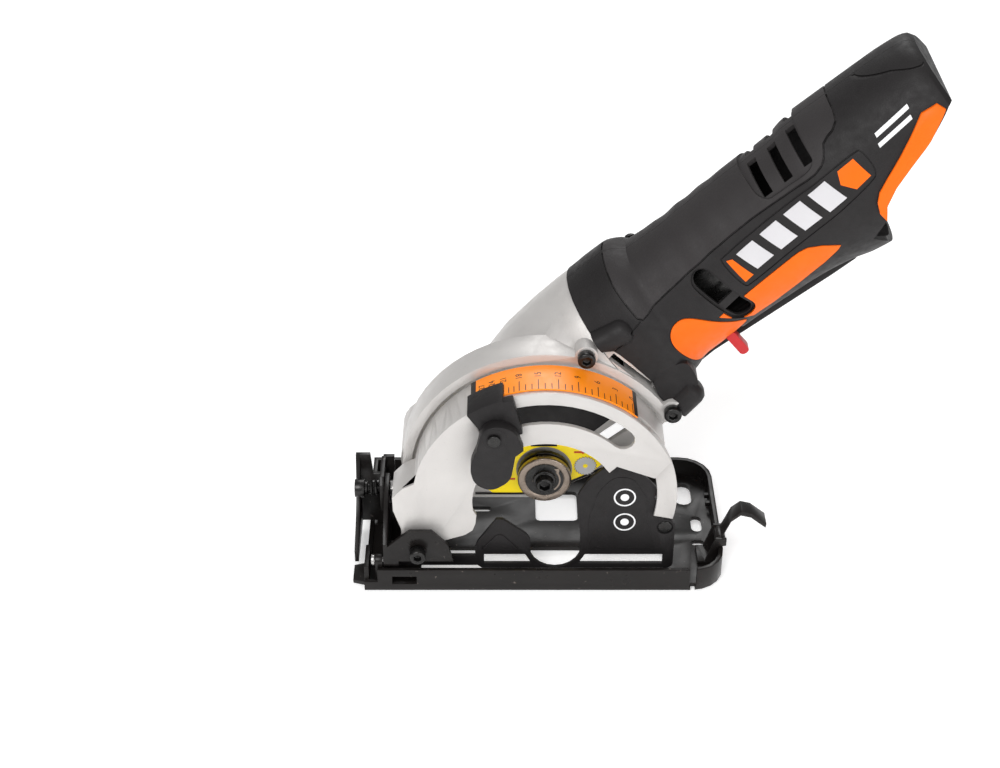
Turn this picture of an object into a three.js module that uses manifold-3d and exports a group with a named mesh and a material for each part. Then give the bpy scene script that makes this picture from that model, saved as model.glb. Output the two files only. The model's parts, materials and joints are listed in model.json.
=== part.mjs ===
import * as THREE from 'three';
import { mergeVertices } from 'three/addons/utils/BufferGeometryUtils.js';
import Module from 'manifold-3d';

const wasm = await Module();
wasm.setup();

// Compact cordless plunge saw. Millimetres, +Z up, blade side towards -Y, handle towards +X.
// The origin is on the sole's underside, straight below the spindle.

// ---- driving sizes ----
const BLADE_RADIUS = 42.5;
const DEPTH = 27;                 // deepest cut
const SPINDLE_Z = 44.5;           // spindle height with the saw raised
const PIVOT_X = -56.2;            // plunge pivot
const PIVOT_Z = 20.5;
const GAP = 0.3;                  // clearance between touching pieces

const SOLE_X0 = -80.5;
const SOLE_X1 = 81;
const SOLE_HALF_WIDTH = 42;
const SHEET = 2;                  // sole sheet thickness
const LIP_HEIGHT = 11.4;
const CORNER = 15;

const RING_FACE_Y = -35.4;        // near face of the guard ring
const RING_PLATE = 2;
const RING_INNER = 32;
const RIM_OUTER = 58.2;
const RIM_WALL = 2.2;
const RING_END = 68;              // degrees from straight up to the ring's rear end
const PARTING_Y = -14;            // ring casting meets the gear case
const SLOT_MID = 47.4;            // depth slot centre radius
const SLOT_HALF = 5;
const SLOT_FROM = -36;
const SLOT_TO = 50;

const DRUM_OUTER = 63.5;
const WEB_Y0 = -11;
const WEB_Y1 = -8;

const HANDLE_ANGLE = 40;          // degrees above the sole
const HANDLE_Y = 20;              // middle plane of motor and handle
const HANDLE_W = 54;              // motor axis height across the handle direction
const COLLAR_A = 88;              // joint between gear case and handle, along the handle
const HANDLE_END_A = 265;
const SHELL_WALL = 2.4;
const DOCK_LOW = [HANDLE_END_A - 58, 35.5];    // battery dock line, lower and upper corner
const DOCK_HIGH = [HANDLE_END_A - 2, 69];

const GUARD_Y0 = -29.7;           // blade guard plate
const GUARD_Y1 = -28;
const SEGMENT_Y0 = -31.8;         // telescoping guard segment
const SEGMENT_Y1 = -30;
const SEGMENT_INNER = 49.2;
const SLIDER_BACK_Y0 = -33.1;
const SLIDER_BACK_Y1 = -32.1;

const SPUR_MODULE = 1.8;
const SPINDLE_TEETH = 11;
const LAY_TEETH = 19;
const LAY_SHAFT = 3.6;            // radius
const FACE_GEAR = 16.4;           // radius

// ---- sizes that follow ----
const rad = THREE.MathUtils.degToRad;
const PIVOT_REACH = Math.hypot(-PIVOT_X, SPINDLE_Z - PIVOT_Z);
const DEEP_Z = BLADE_RADIUS - DEPTH;
const DEEP_X = PIVOT_X + Math.sqrt(PIVOT_REACH ** 2 - (DEEP_Z - PIVOT_Z) ** 2);
const PLUNGE = Math.asin((SPINDLE_Z - PIVOT_Z) / PIVOT_REACH)
  + Math.asin((PIVOT_Z - DEEP_Z) / PIVOT_REACH);
const RIM_INNER = RIM_OUTER - RIM_WALL;
const GEAR_DISTANCE = SPUR_MODULE * (SPINDLE_TEETH + LAY_TEETH) / 2;
const COS = Math.cos(rad(HANDLE_ANGLE));
const SIN = Math.sin(rad(HANDLE_ANGLE));
const SPINDLE_A = SPINDLE_Z * SIN;
const SPINDLE_W = SPINDLE_Z * COS;
const LAY_A = SPINDLE_A + Math.sqrt(GEAR_DISTANCE ** 2 - (HANDLE_W - SPINDLE_W) ** 2);
const LAY_X = LAY_A * COS - HANDLE_W * SIN;
const LAY_Z = LAY_A * SIN + HANDLE_W * COS;
const PINION_A = LAY_A + 10.7;
const GEAR_ROOM = SPUR_MODULE * SPINDLE_TEETH / 2 + 1.1 + GAP;
const NOSE_RADIUS = GEAR_ROOM + 1.7;
const GUARD_FOOT = SHEET + 0.6;   // lowest edge of the blade guard plate

// ---- finishes ----
const finish = (name, color, roughness, metalness) =>
  new THREE.MeshStandardMaterial({ name, color, roughness, metalness });
const SILVER = finish('cast_silver', 0xc6c2bf, 0.45, 0.6);
const BLACK_STEEL = finish('black_steel', 0x1c1919, 0.3, 0.5);
const BLACK_PLASTIC = finish('black_plastic', 0x3a3637, 0.6, 0);
const ORANGE = finish('orange_plastic', 0xff8a1e, 0.5, 0);
const RED = finish('red_plastic', 0xdc3c41, 0.5, 0);
const STEEL = finish('bright_steel', 0xb4b2b0, 0.3, 0.9);
const DARK_STEEL = finish('dark_steel', 0x2e2c2c, 0.35, 0.8);
const BRONZE = finish('bronze', 0x8a7462, 0.4, 0.8);
const COPPER = finish('copper', 0xb87333, 0.35, 0.9);

// ---- solids ----
function signedVolume(geometry) {
  const position = geometry.attributes.position;
  const index = geometry.index.array;
  const corner = (i) => new THREE.Vector3().fromBufferAttribute(position, index[i]);
  let sum = 0;
  for (let i = 0; i < index.length; i += 3) sum += corner(i).dot(corner(i + 1).cross(corner(i + 2))) / 6;
  return sum;
}

// One closed shell with its faces pointing out, whichever way its profile was drawn.
function outward(geometry) {
  const plain = geometry.clone();
  plain.deleteAttribute('normal');
  plain.deleteAttribute('uv');
  const merged = mergeVertices(plain, 1e-4);
  if (signedVolume(merged) < 0) {
    const index = merged.index.array;
    for (let i = 0; i < index.length; i += 3) [index[i], index[i + 1]] = [index[i + 1], index[i]];
  }
  return merged;
}

function solidOf(geometry) {
  const merged = outward(geometry);
  const mesh = new wasm.Mesh({
    numProp: 3,
    vertProperties: new Float32Array(merged.attributes.position.array),
    triVerts: new Uint32Array(merged.index.array),
  });
  return new wasm.Manifold(mesh);
}

function geometryOf(solid) {
  const mesh = solid.getMesh();
  const geometry = new THREE.BufferGeometry();
  geometry.setAttribute('position', new THREE.BufferAttribute(new Float32Array(mesh.vertProperties), 3));
  geometry.setIndex(new THREE.BufferAttribute(new Uint32Array(mesh.triVerts), 1));
  return geometry;
}

function join(first, ...others) {
  return geometryOf(others.reduce((sum, next) => sum.add(solidOf(next)), solidOf(first)));
}

function cut(first, ...tools) {
  return geometryOf(tools.reduce((rest, tool) => rest.subtract(solidOf(tool)), solidOf(first)));
}

function common(first, second) {
  return geometryOf(solidOf(first).intersect(solidOf(second)));
}

function box(x0, x1, y0, y1, z0, z1) {
  const geometry = new THREE.BoxGeometry(x1 - x0, y1 - y0, z1 - z0);
  return geometry.translate((x0 + x1) / 2, (y0 + y1) / 2, (z0 + z1) / 2);
}

function extruded(outline, depth, holes = []) {
  const points = outline.map(([u, v]) => new THREE.Vector2(u, v));
  if (THREE.ShapeUtils.isClockWise(points)) points.reverse();
  const shape = new THREE.Shape(points);
  for (const hole of holes) {
    shape.holes.push(new THREE.Path(hole.map(([u, v]) => new THREE.Vector2(u, v))));
  }
  return new THREE.ExtrudeGeometry(shape, { depth, bevelEnabled: false });
}

// Outline in X and Z, thickness along Y.
function wall(outline, y0, y1, holes) {
  return extruded(outline, y1 - y0, holes).rotateX(Math.PI / 2).translate(0, y1, 0);
}

// Outline in X and Y, thickness along Z.
function slab(outline, z0, z1, holes) {
  return extruded(outline, z1 - z0, holes).translate(0, 0, z0);
}

// Outline in Y and Z, thickness along X.
function slice(outline, x0, x1, holes) {
  const turn = new THREE.Matrix4().set(0, 0, 1, x0, 1, 0, 0, 0, 0, 1, 0, 0, 0, 0, 0, 1);
  return extruded(outline, x1 - x0, holes).applyMatrix4(turn);
}

// Points on a circle, angles in degrees from straight up, growing towards +X.
function arc(radius, from, to, steps, cx = 0, cz = SPINDLE_Z) {
  return Array.from({ length: steps + 1 }, (_, i) => {
    const angle = rad(from + (to - from) * i / steps);
    return [cx + radius * Math.sin(angle), cz + radius * Math.cos(angle)];
  });
}

function circle(cx, cz, radius, steps) {
  return arc(radius, 0, 360 - 360 / steps, steps - 1, cx, cz);
}

function sector(inner, outer, from, to, steps) {
  return [...arc(outer, from, to, steps), ...arc(inner, to, from, steps)];
}

// Slot with round ends along a circle about the spindle.
function roundSlot(mid, half, from, to, steps, cx = 0, cz = SPINDLE_Z) {
  const end = (angle, start) => {
    const [x, z] = arc(mid, angle, angle, 1, cx, cz)[0];
    return arc(half, start, start + 180, 6, x, z).slice(1, -1);
  };
  return [...arc(mid + half, from, to, steps, cx, cz), ...end(to, to),
    ...arc(mid - half, to, from, steps, cx, cz), ...end(from, from + 180)];
}

function roundedBox(x0, x1, y0, y1, radius, steps = 3) {
  const corners = [[x1 - radius, y1 - radius, 0], [x1 - radius, y0 + radius, 90],
    [x0 + radius, y0 + radius, 180], [x0 + radius, y1 - radius, 270]];
  return corners.flatMap(([x, y, start]) => arc(radius, start, start + 90, steps, x, y));
}

// Round solid along Y; profile pairs are radius and y, from axis to axis.
function turnedY(profile, x, z, steps = 24) {
  const points = profile.map(([r, y]) => new THREE.Vector2(r, y));
  return new THREE.LatheGeometry(points, steps).translate(x, 0, z);
}

// Round solid along the handle; profile pairs are radius and distance along the handle.
function turnedA(profile, steps = 24, y = HANDLE_Y, w = HANDLE_W) {
  const points = profile.map(([r, a]) => new THREE.Vector2(r, a));
  const geometry = new THREE.LatheGeometry(points, steps);
  return lean(geometry.rotateZ(-Math.PI / 2).translate(0, y, w));
}

function rod(from, to, radius, steps = 16) {
  const a = new THREE.Vector3(...from);
  const b = new THREE.Vector3(...to);
  const span = b.clone().sub(a);
  const geometry = new THREE.CylinderGeometry(radius, radius, span.length(), steps);
  const turn = new THREE.Quaternion().setFromUnitVectors(new THREE.Vector3(0, 1, 0), span.normalize());
  return geometry.applyQuaternion(turn).translate(...a.add(b).multiplyScalar(0.5).toArray());
}

// From handle coordinates (along, y, across) to the saw's own.
function lean(geometry) {
  return geometry.rotateY(-rad(HANDLE_ANGLE));
}

// Body through oval sections across the handle: distance along, middle, half height, half width.
function loft(sections, steps, inset = 0) {
  const positions = [];
  const index = [];
  const middle = [];
  sections.forEach(([a, w, high, wide, low = high]) => {
    for (let i = 0; i < steps; i += 1) {
      const angle = 2 * Math.PI * i / steps;
      const up = Math.sin(angle);
      const half = up > 0 ? high : low;
      positions.push(a, HANDLE_Y + (wide - inset) * Math.cos(angle), w + (half - inset) * up);
    }
    middle.push([a, HANDLE_Y, w]);
  });
  sections.slice(1).forEach((_, s) => {
    for (let i = 0; i < steps; i += 1) {
      const p = s * steps + i;
      const q = s * steps + (i + 1) % steps;
      index.push(p, p + steps, q, q, p + steps, q + steps);
    }
  });
  const first = positions.length / 3;
  positions.push(...middle[0], ...middle[middle.length - 1]);
  const last = (sections.length - 1) * steps;
  for (let i = 0; i < steps; i += 1) {
    const j = (i + 1) % steps;
    index.push(first, i, j, first + 1, last + j, last + i);
  }
  const geometry = new THREE.BufferGeometry();
  geometry.setAttribute('position', new THREE.Float32BufferAttribute(positions, 3));
  geometry.setIndex(index);
  return lean(geometry);
}

// Wedge about the motor axis: angles in degrees from -Y, growing upwards.
function wedge(a0, a1, from, to, inner, outer, steps = 4) {
  const point = (radius, i) => {
    const angle = rad(from + (to - from) * i / steps);
    return [HANDLE_Y - radius * Math.cos(angle), HANDLE_W + radius * Math.sin(angle)];
  };
  const outline = [];
  for (let i = 0; i <= steps; i += 1) outline.push(point(outer, i));
  for (let i = steps; i >= 0; i -= 1) outline.push(point(inner, i));
  return lean(slice(outline, a0, a1));
}

function handleWall(outline, y0, y1, holes) {
  return lean(wall(outline, y0, y1, holes));
}

// Everything that would dip below a height at full plunge.
function plungeLimit(height) {
  const block = new THREE.BoxGeometry(400, 200, 100).translate(100, 0, height - PIVOT_Z - 50);
  return block.rotateY(-PLUNGE).translate(PIVOT_X, 0, PIVOT_Z);
}

function gear(teeth, y0, y1, x, z, bore, phase) {
  const pitch = SPUR_MODULE * teeth / 2;
  const outline = [];
  for (let i = 0; i < teeth; i += 1) {
    const middle = (i + phase) * 360 / teeth;
    const step = 360 / teeth;
    outline.push(...arc(pitch - 1.6, middle - 0.36 * step, middle - 0.26 * step, 1, x, z));
    outline.push(...arc(pitch + 1.1, middle - 0.12 * step, middle + 0.12 * step, 1, x, z));
    outline.push(...arc(pitch - 1.6, middle + 0.26 * step, middle + 0.36 * step, 1, x, z));
  }
  return wall(outline, y0, y1, [circle(x, z, bore, 12)]);
}

// Coil wound from square wire about an axis along Z at the origin.
function coil(radius, wire, turns, length, perTurn = 8) {
  const count = Math.round(turns * perTurn);
  const path = new THREE.CatmullRomCurve3(Array.from({ length: count + 1 }, (_, i) => {
    const angle = 2 * Math.PI * i / perTurn;
    return new THREE.Vector3(radius * Math.cos(angle), radius * Math.sin(angle), length * i / count);
  }));
  const closedEnds = new THREE.TubeGeometry(path, count, wire, 5, false);
  return capTube(closedEnds, path, count, 5);
}

function capTube(tube, path, segments, around) {
  const positions = Array.from(tube.attributes.position.array);
  const index = Array.from(tube.index.array);
  const start = positions.length / 3;
  positions.push(...path.getPoint(0).toArray(), ...path.getPoint(1).toArray());
  const last = segments * (around + 1);
  for (let i = 0; i < around; i += 1) {
    index.push(start, i, i + 1, start + 1, last + i + 1, last + i);
  }
  const geometry = new THREE.BufferGeometry();
  geometry.setAttribute('position', new THREE.Float32BufferAttribute(positions, 3));
  geometry.setIndex(index);
  const merged = geometryOf(solidOf(geometry));
  return merged;
}

function hexOutline(cx, cz, across) {
  return circle(cx, cz, across / 2 / Math.cos(rad(30)), 6);
}

function piece(name, geometry, material) {
  const mesh = new THREE.Mesh(outward(geometry), material);
  mesh.name = name;
  return mesh;
}

// ---- sole and what is fixed to it ----
function basePlate() {
  const x0 = SOLE_X0;
  const x1 = SOLE_X1;
  const y1 = SOLE_HALF_WIDTH;
  const round = (inset, from, to) => arc(CORNER - inset, from, to, 5, x1 - CORNER, y1 - CORNER);
  const trayOutline = (inset) => [[x0 + inset, -y1 + inset], [x0 + inset, y1 - inset],
    ...round(inset, 0, 90), ...round(inset, 90, 0).map(([x, y]) => [x, -y])];
  const slotHole = roundedBox(-55.5, 55, -31, -14.5, 1.5, 2);
  const gearHole = roundedBox(-3, 16.7, 5, 27, 2, 2);
  const sheet = slab(trayOutline(0), 0, LIP_HEIGHT);
  const hollow = slab(trayOutline(SHEET), SHEET, LIP_HEIGHT + 1);
  const openings = [slotHole, gearHole, roundedBox(63.5, 71.5, 17, 33, 3.9, 3),
    roundedBox(69.5, 74.5, -3, 8, 2.4, 3), roundedBox(68.5, 74.5, -13, -9.6, 1.6, 2),
    roundedBox(-46, -24, 12, 15.5, 1.6, 2)].map((hole) => slab(hole, -1, SHEET + 1));
  const frontGap = box(x0 - 1, x0 + SHEET + 0.5, -24, 26, SHEET + 1.2, LIP_HEIGHT + 2);
  const flapNotch = box(x0 - 1, x0 + 6, -y1 - 1, -y1 + SHEET + 0.5, 4.5, LIP_HEIGHT + 2);
  const nearWindow = box(-68, -57, -y1 - 1, -y1 + SHEET + 0.5, 3.4, 7.8);
  const cornerNotch = box(65, 68, -y1 - 1, -y1 + SHEET + 0.5, SHEET, LIP_HEIGHT + 2);
  const cornerRelief = box(65.5, 67.5, -y1 - 1, -y1 + 2.5, -1, SHEET + 1);
  const guideGaps = [-15, 4].map((y) => box(x1 - SHEET - 0.6, x1 + 1, y, y + 4, 3.4, 9));
  const clipTeeth = [12, 18].map((y) => box(x1 - SHEET - 2, x1 - SHEET + 0.6, y, y + 2, 5, 7));
  const tongue = slab([[x0 - 5.4, -37], [x0 - 5.4, -27], [x0 + 1, -25], [x0 + 1, -39]], 0, SHEET);
  const shell = cut(sheet, hollow, ...openings, frontGap, flapNotch, nearWindow, cornerNotch,
    cornerRelief, ...guideGaps);
  return piece('base_plate', join(shell, tongue, ...clipTeeth), BLACK_STEEL);
}

const CARRIER_X0 = -73.8;         // plate that carries the bevel lock screw
const TILT_Y = -37;
const TILT_Z = 13.5;
const BEVEL_Y = -10;              // bevel lock screw
const BEVEL_Z = 33;

function frontBracket() {
  const left = SOLE_X0 - 5.1;
  const gusset = slice([[-27, 4], [-27, 10], [-12, 18], [-3, 26], [3, 42], [5, 42], [5, 4]], left,
    left + 1.8);
  const back = wall([[left, 4], [-77, 4], [-77, SHEET + GAP], [-68, SHEET + GAP], [-68, 41], [-73, 41],
    [-73.6, 31], [-78, 31], [-79, 42], [left + 1.2, 42], [left, 34]], 3, 5);
  const carrier = slice([[-15, 24], [-15, 38], [-12, 41], [3.5, 41], [3.5, 20], [-8, 20]], CARRIER_X0,
    CARRIER_X0 + 1.8);
  const foot = box(-77, -62, 3, 24, SHEET + GAP, SHEET + GAP + 1.8);
  const screwHole = rod([-90, BEVEL_Y, BEVEL_Z], [-60, BEVEL_Y, BEVEL_Z], 1.9 + GAP, 16);
  return piece('front_bracket', cut(join(gusset, back, carrier, foot), screwHole), BLACK_STEEL);
}

function tiltPin() {
  const shank = rod([-76, TILT_Y, TILT_Z], [-65.4, TILT_Y, TILT_Z], 1.5, 12);
  const head = rod([-77.2, TILT_Y, TILT_Z], [-75.7, TILT_Y, TILT_Z], 2.5, 12);
  return piece('tilt_pin', join(shank, head), STEEL);
}

function tiltHinge() {
  const barrel = rod([-75.4, TILT_Y, TILT_Z], [-72.2, TILT_Y, TILT_Z], 3, 14);
  const post = box(-75.4, -72.2, -SOLE_HALF_WIDTH + SHEET + GAP, TILT_Y + 2.6, SHEET + GAP,
    TILT_Z - 0.5);
  const bore = rod([-76, TILT_Y, TILT_Z], [-71, TILT_Y, TILT_Z], 1.5 + GAP, 12);
  return piece('tilt_hinge', cut(join(barrel, post), bore), BLACK_STEEL);
}

function rearLever() {
  const mid = [[79.4, 13.5], [81.7, 19], [84, 25], [88, 28.6], [92.6, 27.4], [97.4, 23.4], [99.6, 21.6]];
  const thick = 2.2;
  const outer = mid.map(([x, z]) => [x + thick * 0.15, z + thick]);
  const strip = wall([...outer, ...mid.slice().reverse()], -24.6, -16.4);
  const barrel = rod([79.8, -24.6, 14], [79.8, -16.4, 14], 2.6, 14);
  const bore = rod([79.8, -27, 14], [79.8, -14, 14], 1.2 + GAP, 10);
  return piece('rear_lever', cut(join(strip, barrel), bore), BLACK_STEEL);
}

function rearLeverBracket() {
  const foot = box(70, 78.6, -26.3, -14.7, SHEET + GAP, SHEET + GAP + 1.4);
  const ear = (y) => wall([[73, SHEET + GAP], [78.6, SHEET + GAP], [78.6, 11.9], [82.4, 12.6],
    [82.4, 16.4], [77.4, 16.4]], y, y + 1.4);
  const pin = rod([79.8, -26, 14], [79.8, -15, 14], 1.2, 10);
  return piece('rear_lever_bracket', join(foot, ear(-26.3), ear(-16.1), pin), BLACK_STEEL);
}

// ---- tilting frame ----
const EAR_Y0 = -39.5;

function pivotBracket() {
  const front = [[EAR_Y0, TILT_Z + 1], [EAR_Y0, 24], [-33, 30], [-17, 38.5], [-6, 38.5], [1.5, 28],
    [1.5, 5], [-34, 5], [-34.4, TILT_Z + 1]];
  const reach = Math.hypot(BEVEL_Y - TILT_Y, BEVEL_Z - TILT_Z);
  const start = THREE.MathUtils.radToDeg(Math.atan2(BEVEL_Y - TILT_Y, BEVEL_Z - TILT_Z));
  const track = roundSlot(reach, 2.2, start - 1, start + 46, 8, TILT_Y, TILT_Z);
  const sheet = slice(front, -71.6, -69.8, [track]);
  const ear = wall([[-71.6, TILT_Z + 1], [-40.5, TILT_Z + 1], [-43, 24], [-50, 31.5], [-60, 31.5],
    [-71.6, 21]], EAR_Y0, EAR_Y0 + 1.8);
  const farEar = wall([[-71.6, 5], [-42, 5], [-45, 24], [-50, 29], [-61, 29], [-66, 26.5],
    [-71.6, 26.5]], -13.2, -11.4);
  const barrel = rod([-71.6, TILT_Y, TILT_Z], [-65, TILT_Y, TILT_Z], 3, 14);
  const bore = rod([-73, TILT_Y, TILT_Z], [-61, TILT_Y, TILT_Z], 1.5 + GAP, 12);
  const boltHole = rod([PIVOT_X, -50, PIVOT_Z], [PIVOT_X, 0, PIVOT_Z], 3 + GAP, 16);
  return piece('pivot_bracket', cut(join(sheet, ear, farEar, barrel), bore, boltHole), BLACK_STEEL);
}

const RIVET = [53.8, 25.9];
const RIVET_HEAD = 3.4;

function guardPlateNear() {
  const outline = [[-68.8, 4.2], [-68.8, 9.8], [-31, 9.8], [-31, 16.1], [-21.5, 30.5], [-18.5, 30.5],
    [-6.4, 20.7], ...arc(11.6, 250, 110, 8, 5, GUARD_FOOT + 11.9), [16.2, 20.7], [14, 43.4],
    [19.5, 53.4], [30.9, 63.8], [41, 61.2], [52.4, 49], [48.3, 43.4], [53, 30.3],
    ...arc(4.6, 10, 110, 4, ...RIVET), [58.3, 16], [58.3, GUARD_FOOT], [-28, GUARD_FOOT],
    [-30, 4.2]];
  const windows = [[[-27, 5.2], [-27, 10.6], [-8.5, 10.6], [-5.5, 5.2]],
    [[15.5, 5.2], [18.5, 10.6], [53.5, 10.6], [53.5, 5.2]]];
  const plate = wall(outline, GUARD_Y0, GUARD_Y1, windows);
  const sweep = rod([DEEP_X, -40, DEEP_Z], [DEEP_X, 0, DEEP_Z], RIM_INNER - 1, 48);
  const low = box(-80, 70, -40, 0, 0, 12);
  const trimmed = common(plate, join(sweep, low));
  const rivetHole = turnedY([[0, -40], [RIVET_HEAD + GAP, -40], [RIVET_HEAD + GAP, GUARD_Y0 + 0.8],
    [2 + GAP, GUARD_Y0 + 0.8], [2 + GAP, 0], [0, 0]], ...RIVET, 14);
  const embossed = wall([[-29, 12.8], [-20, 23.5], [-10.5, 12.8]], GUARD_Y0 - 0.6, GUARD_Y0 + 0.3);
  const panel = wall([[20.5, 14], [19.6, 31], [23.6, 46.5], [30.2, 54.4], [38.5, 53.8], [45.6, 42],
    [44.8, 33.4], [48.6, 21], [46.8, 14]], GUARD_Y0 - 0.25, GUARD_Y0 + 0.3);
  const hole = rod([PIVOT_X, -50, 7], [PIVOT_X, 0, 7], 1.6, 10);
  return piece('guard_plate', cut(join(trimmed, embossed, panel), rivetHole, hole), BLACK_PLASTIC);
}

// The head lies in the plate, clear of the guard segment that slides past it.
function guardRivet() {
  const seat = GUARD_Y0 + 0.8 - GAP;
  const profile = [[0, GUARD_Y0], [RIVET_HEAD - 0.4, GUARD_Y0], [RIVET_HEAD, seat], [2, seat],
    [2, GUARD_Y1 + GAP], [3, GUARD_Y1 + GAP], [3, GUARD_Y1 + 1.2], [0, GUARD_Y1 + 1.2]];
  return piece('guard_rivet', turnedY(profile, ...RIVET, 14), DARK_STEEL);
}

function pivotBolt() {
  const y = EAR_Y0 - GAP;
  const head = turnedY([[0, y - 5], [3.2, y - 5], [3.6, y - 4.4], [3.6, y], [2.6, y], [2.6, -9.4],
    [0, -9.4]], PIVOT_X, PIVOT_Z, 18);
  const socket = wall(hexOutline(PIVOT_X, PIVOT_Z, 3.2), y - 6, y - 2.4);
  return piece('pivot_bolt', cut(head, socket), DARK_STEEL);
}

function pivotNut() {
  const hole = circle(PIVOT_X, PIVOT_Z, 2.6 + GAP, 14);
  const nut = wall(hexOutline(PIVOT_X, PIVOT_Z, 8), -11.1, -8.6, [hole]);
  return piece('pivot_nut', nut, STEEL);
}

function pivotBush() {
  const ring = wall(circle(PIVOT_X, PIVOT_Z, 4.6, 20), -34.5, -16.5,
    [circle(PIVOT_X, PIVOT_Z, 2.6 + GAP, 16)]);
  return piece('pivot_bush', ring, BRONZE);
}

function bevelScrew() {
  const axis = [BEVEL_Y, BEVEL_Z];
  const at = (x) => [x, ...axis];
  const head = rod(at(-85.4), at(-81), 4.2, 18);
  const collar = rod(at(-81.2), at(-79.6), 3.2, 16);
  const shank = rod(at(-79.8), at(-65.6), 1.9, 12);
  const socket = slice(hexOutline(axis[0], axis[1], 3.6), -86, -83);
  return piece('bevel_screw', cut(join(head, collar, shank), socket), DARK_STEEL);
}

function bevelSpring() {
  const wound = coil(3.1, 0.6, 3.5, 3.9);
  wound.rotateY(Math.PI / 2).translate(-78.7, BEVEL_Y, BEVEL_Z);
  return piece('bevel_spring', wound, DARK_STEEL);
}

function bevelNut() {
  const nut = slice(hexOutline(BEVEL_Y, BEVEL_Z, 7), -69.4, -66.4,
    [circle(BEVEL_Y, BEVEL_Z, 1.9 + GAP, 12)]);
  return piece('bevel_nut', nut, STEEL);
}

// ---- plunging castings ----
function guardRing() {
  const lobe = [[-30.7, 32.6], [-30.2, 37.5], ...arc(RING_INNER, -98, RING_END - 18, 26),
    [27.5, 61], [30.7, 64.3], [47.3, 57.9], [53.6, 66.4], ...arc(RIM_OUTER, RING_END, -80, 30),
    [-62.5, 52], [-67, 47], [-66.8, 40], [-63.6, 30], ...arc(8, 300, 170, 8, PIVOT_X, PIVOT_Z),
    [-49.2, 21.6], [-35.4, 26.4], [-32, 29]];
  const plate = wall(lobe, RING_FACE_Y, RING_FACE_Y + RING_PLATE,
    [roundSlot(SLOT_MID, SLOT_HALF, SLOT_FROM + 5, SLOT_TO - 6, 14)]);
  const rim = wall(sector(RIM_INNER, RIM_OUTER, -80, RING_END - 6, 30), RING_FACE_Y + 1, PARTING_Y - 0.3);
  const shoulder = [[-54, 52], [-57.3, 54.8], [-62.5, 52], [-67, 47], [-66.8, 40], [-63.6, 30],
    ...arc(8, 300, 120, 8, PIVOT_X, PIVOT_Z), [-50.5, 30], [-59.5, 34], [-63, 42], [-60, 46.5]];
  const cheek = wall(shoulder, RING_FACE_Y + 1, PARTING_Y - 2.5);
  const bore = rod([PIVOT_X, -50, PIVOT_Z], [PIVOT_X, 0, PIVOT_Z], 4.6 + GAP, 20);
  const end = plungeLimit(3.2);
  const segmentSlot = wall(sector(SEGMENT_INNER - 2, RIM_OUTER + 3, 14, RING_END + 4, 16),
    SEGMENT_Y0 - GAP, SEGMENT_Y1 + GAP);
  return piece('guard_ring', cut(join(plate, rim, cheek), bore, end, segmentSlot), SILVER);
}

function depthScale() {
  const band = wall(sector(RIM_OUTER + GAP, RIM_OUTER + GAP + 0.7, -33, 41, 26), -33.4, -15.4);
  return piece('depth_scale', band, ORANGE);
}

function domeSections() {
  return [[18, HANDLE_W, 7, 7], [20.5, HANDLE_W, 15, 15], [26, HANDLE_W, 23, 22], [36, HANDLE_W, 29, 27],
    [49, HANDLE_W, 32.6, 30], [66, HANDLE_W, 34.8, 32],
    [80, HANDLE_W, 35.8, 33.2], [COLLAR_A - GAP, HANDLE_W, 36, 33.2, 33]];
}

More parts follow.
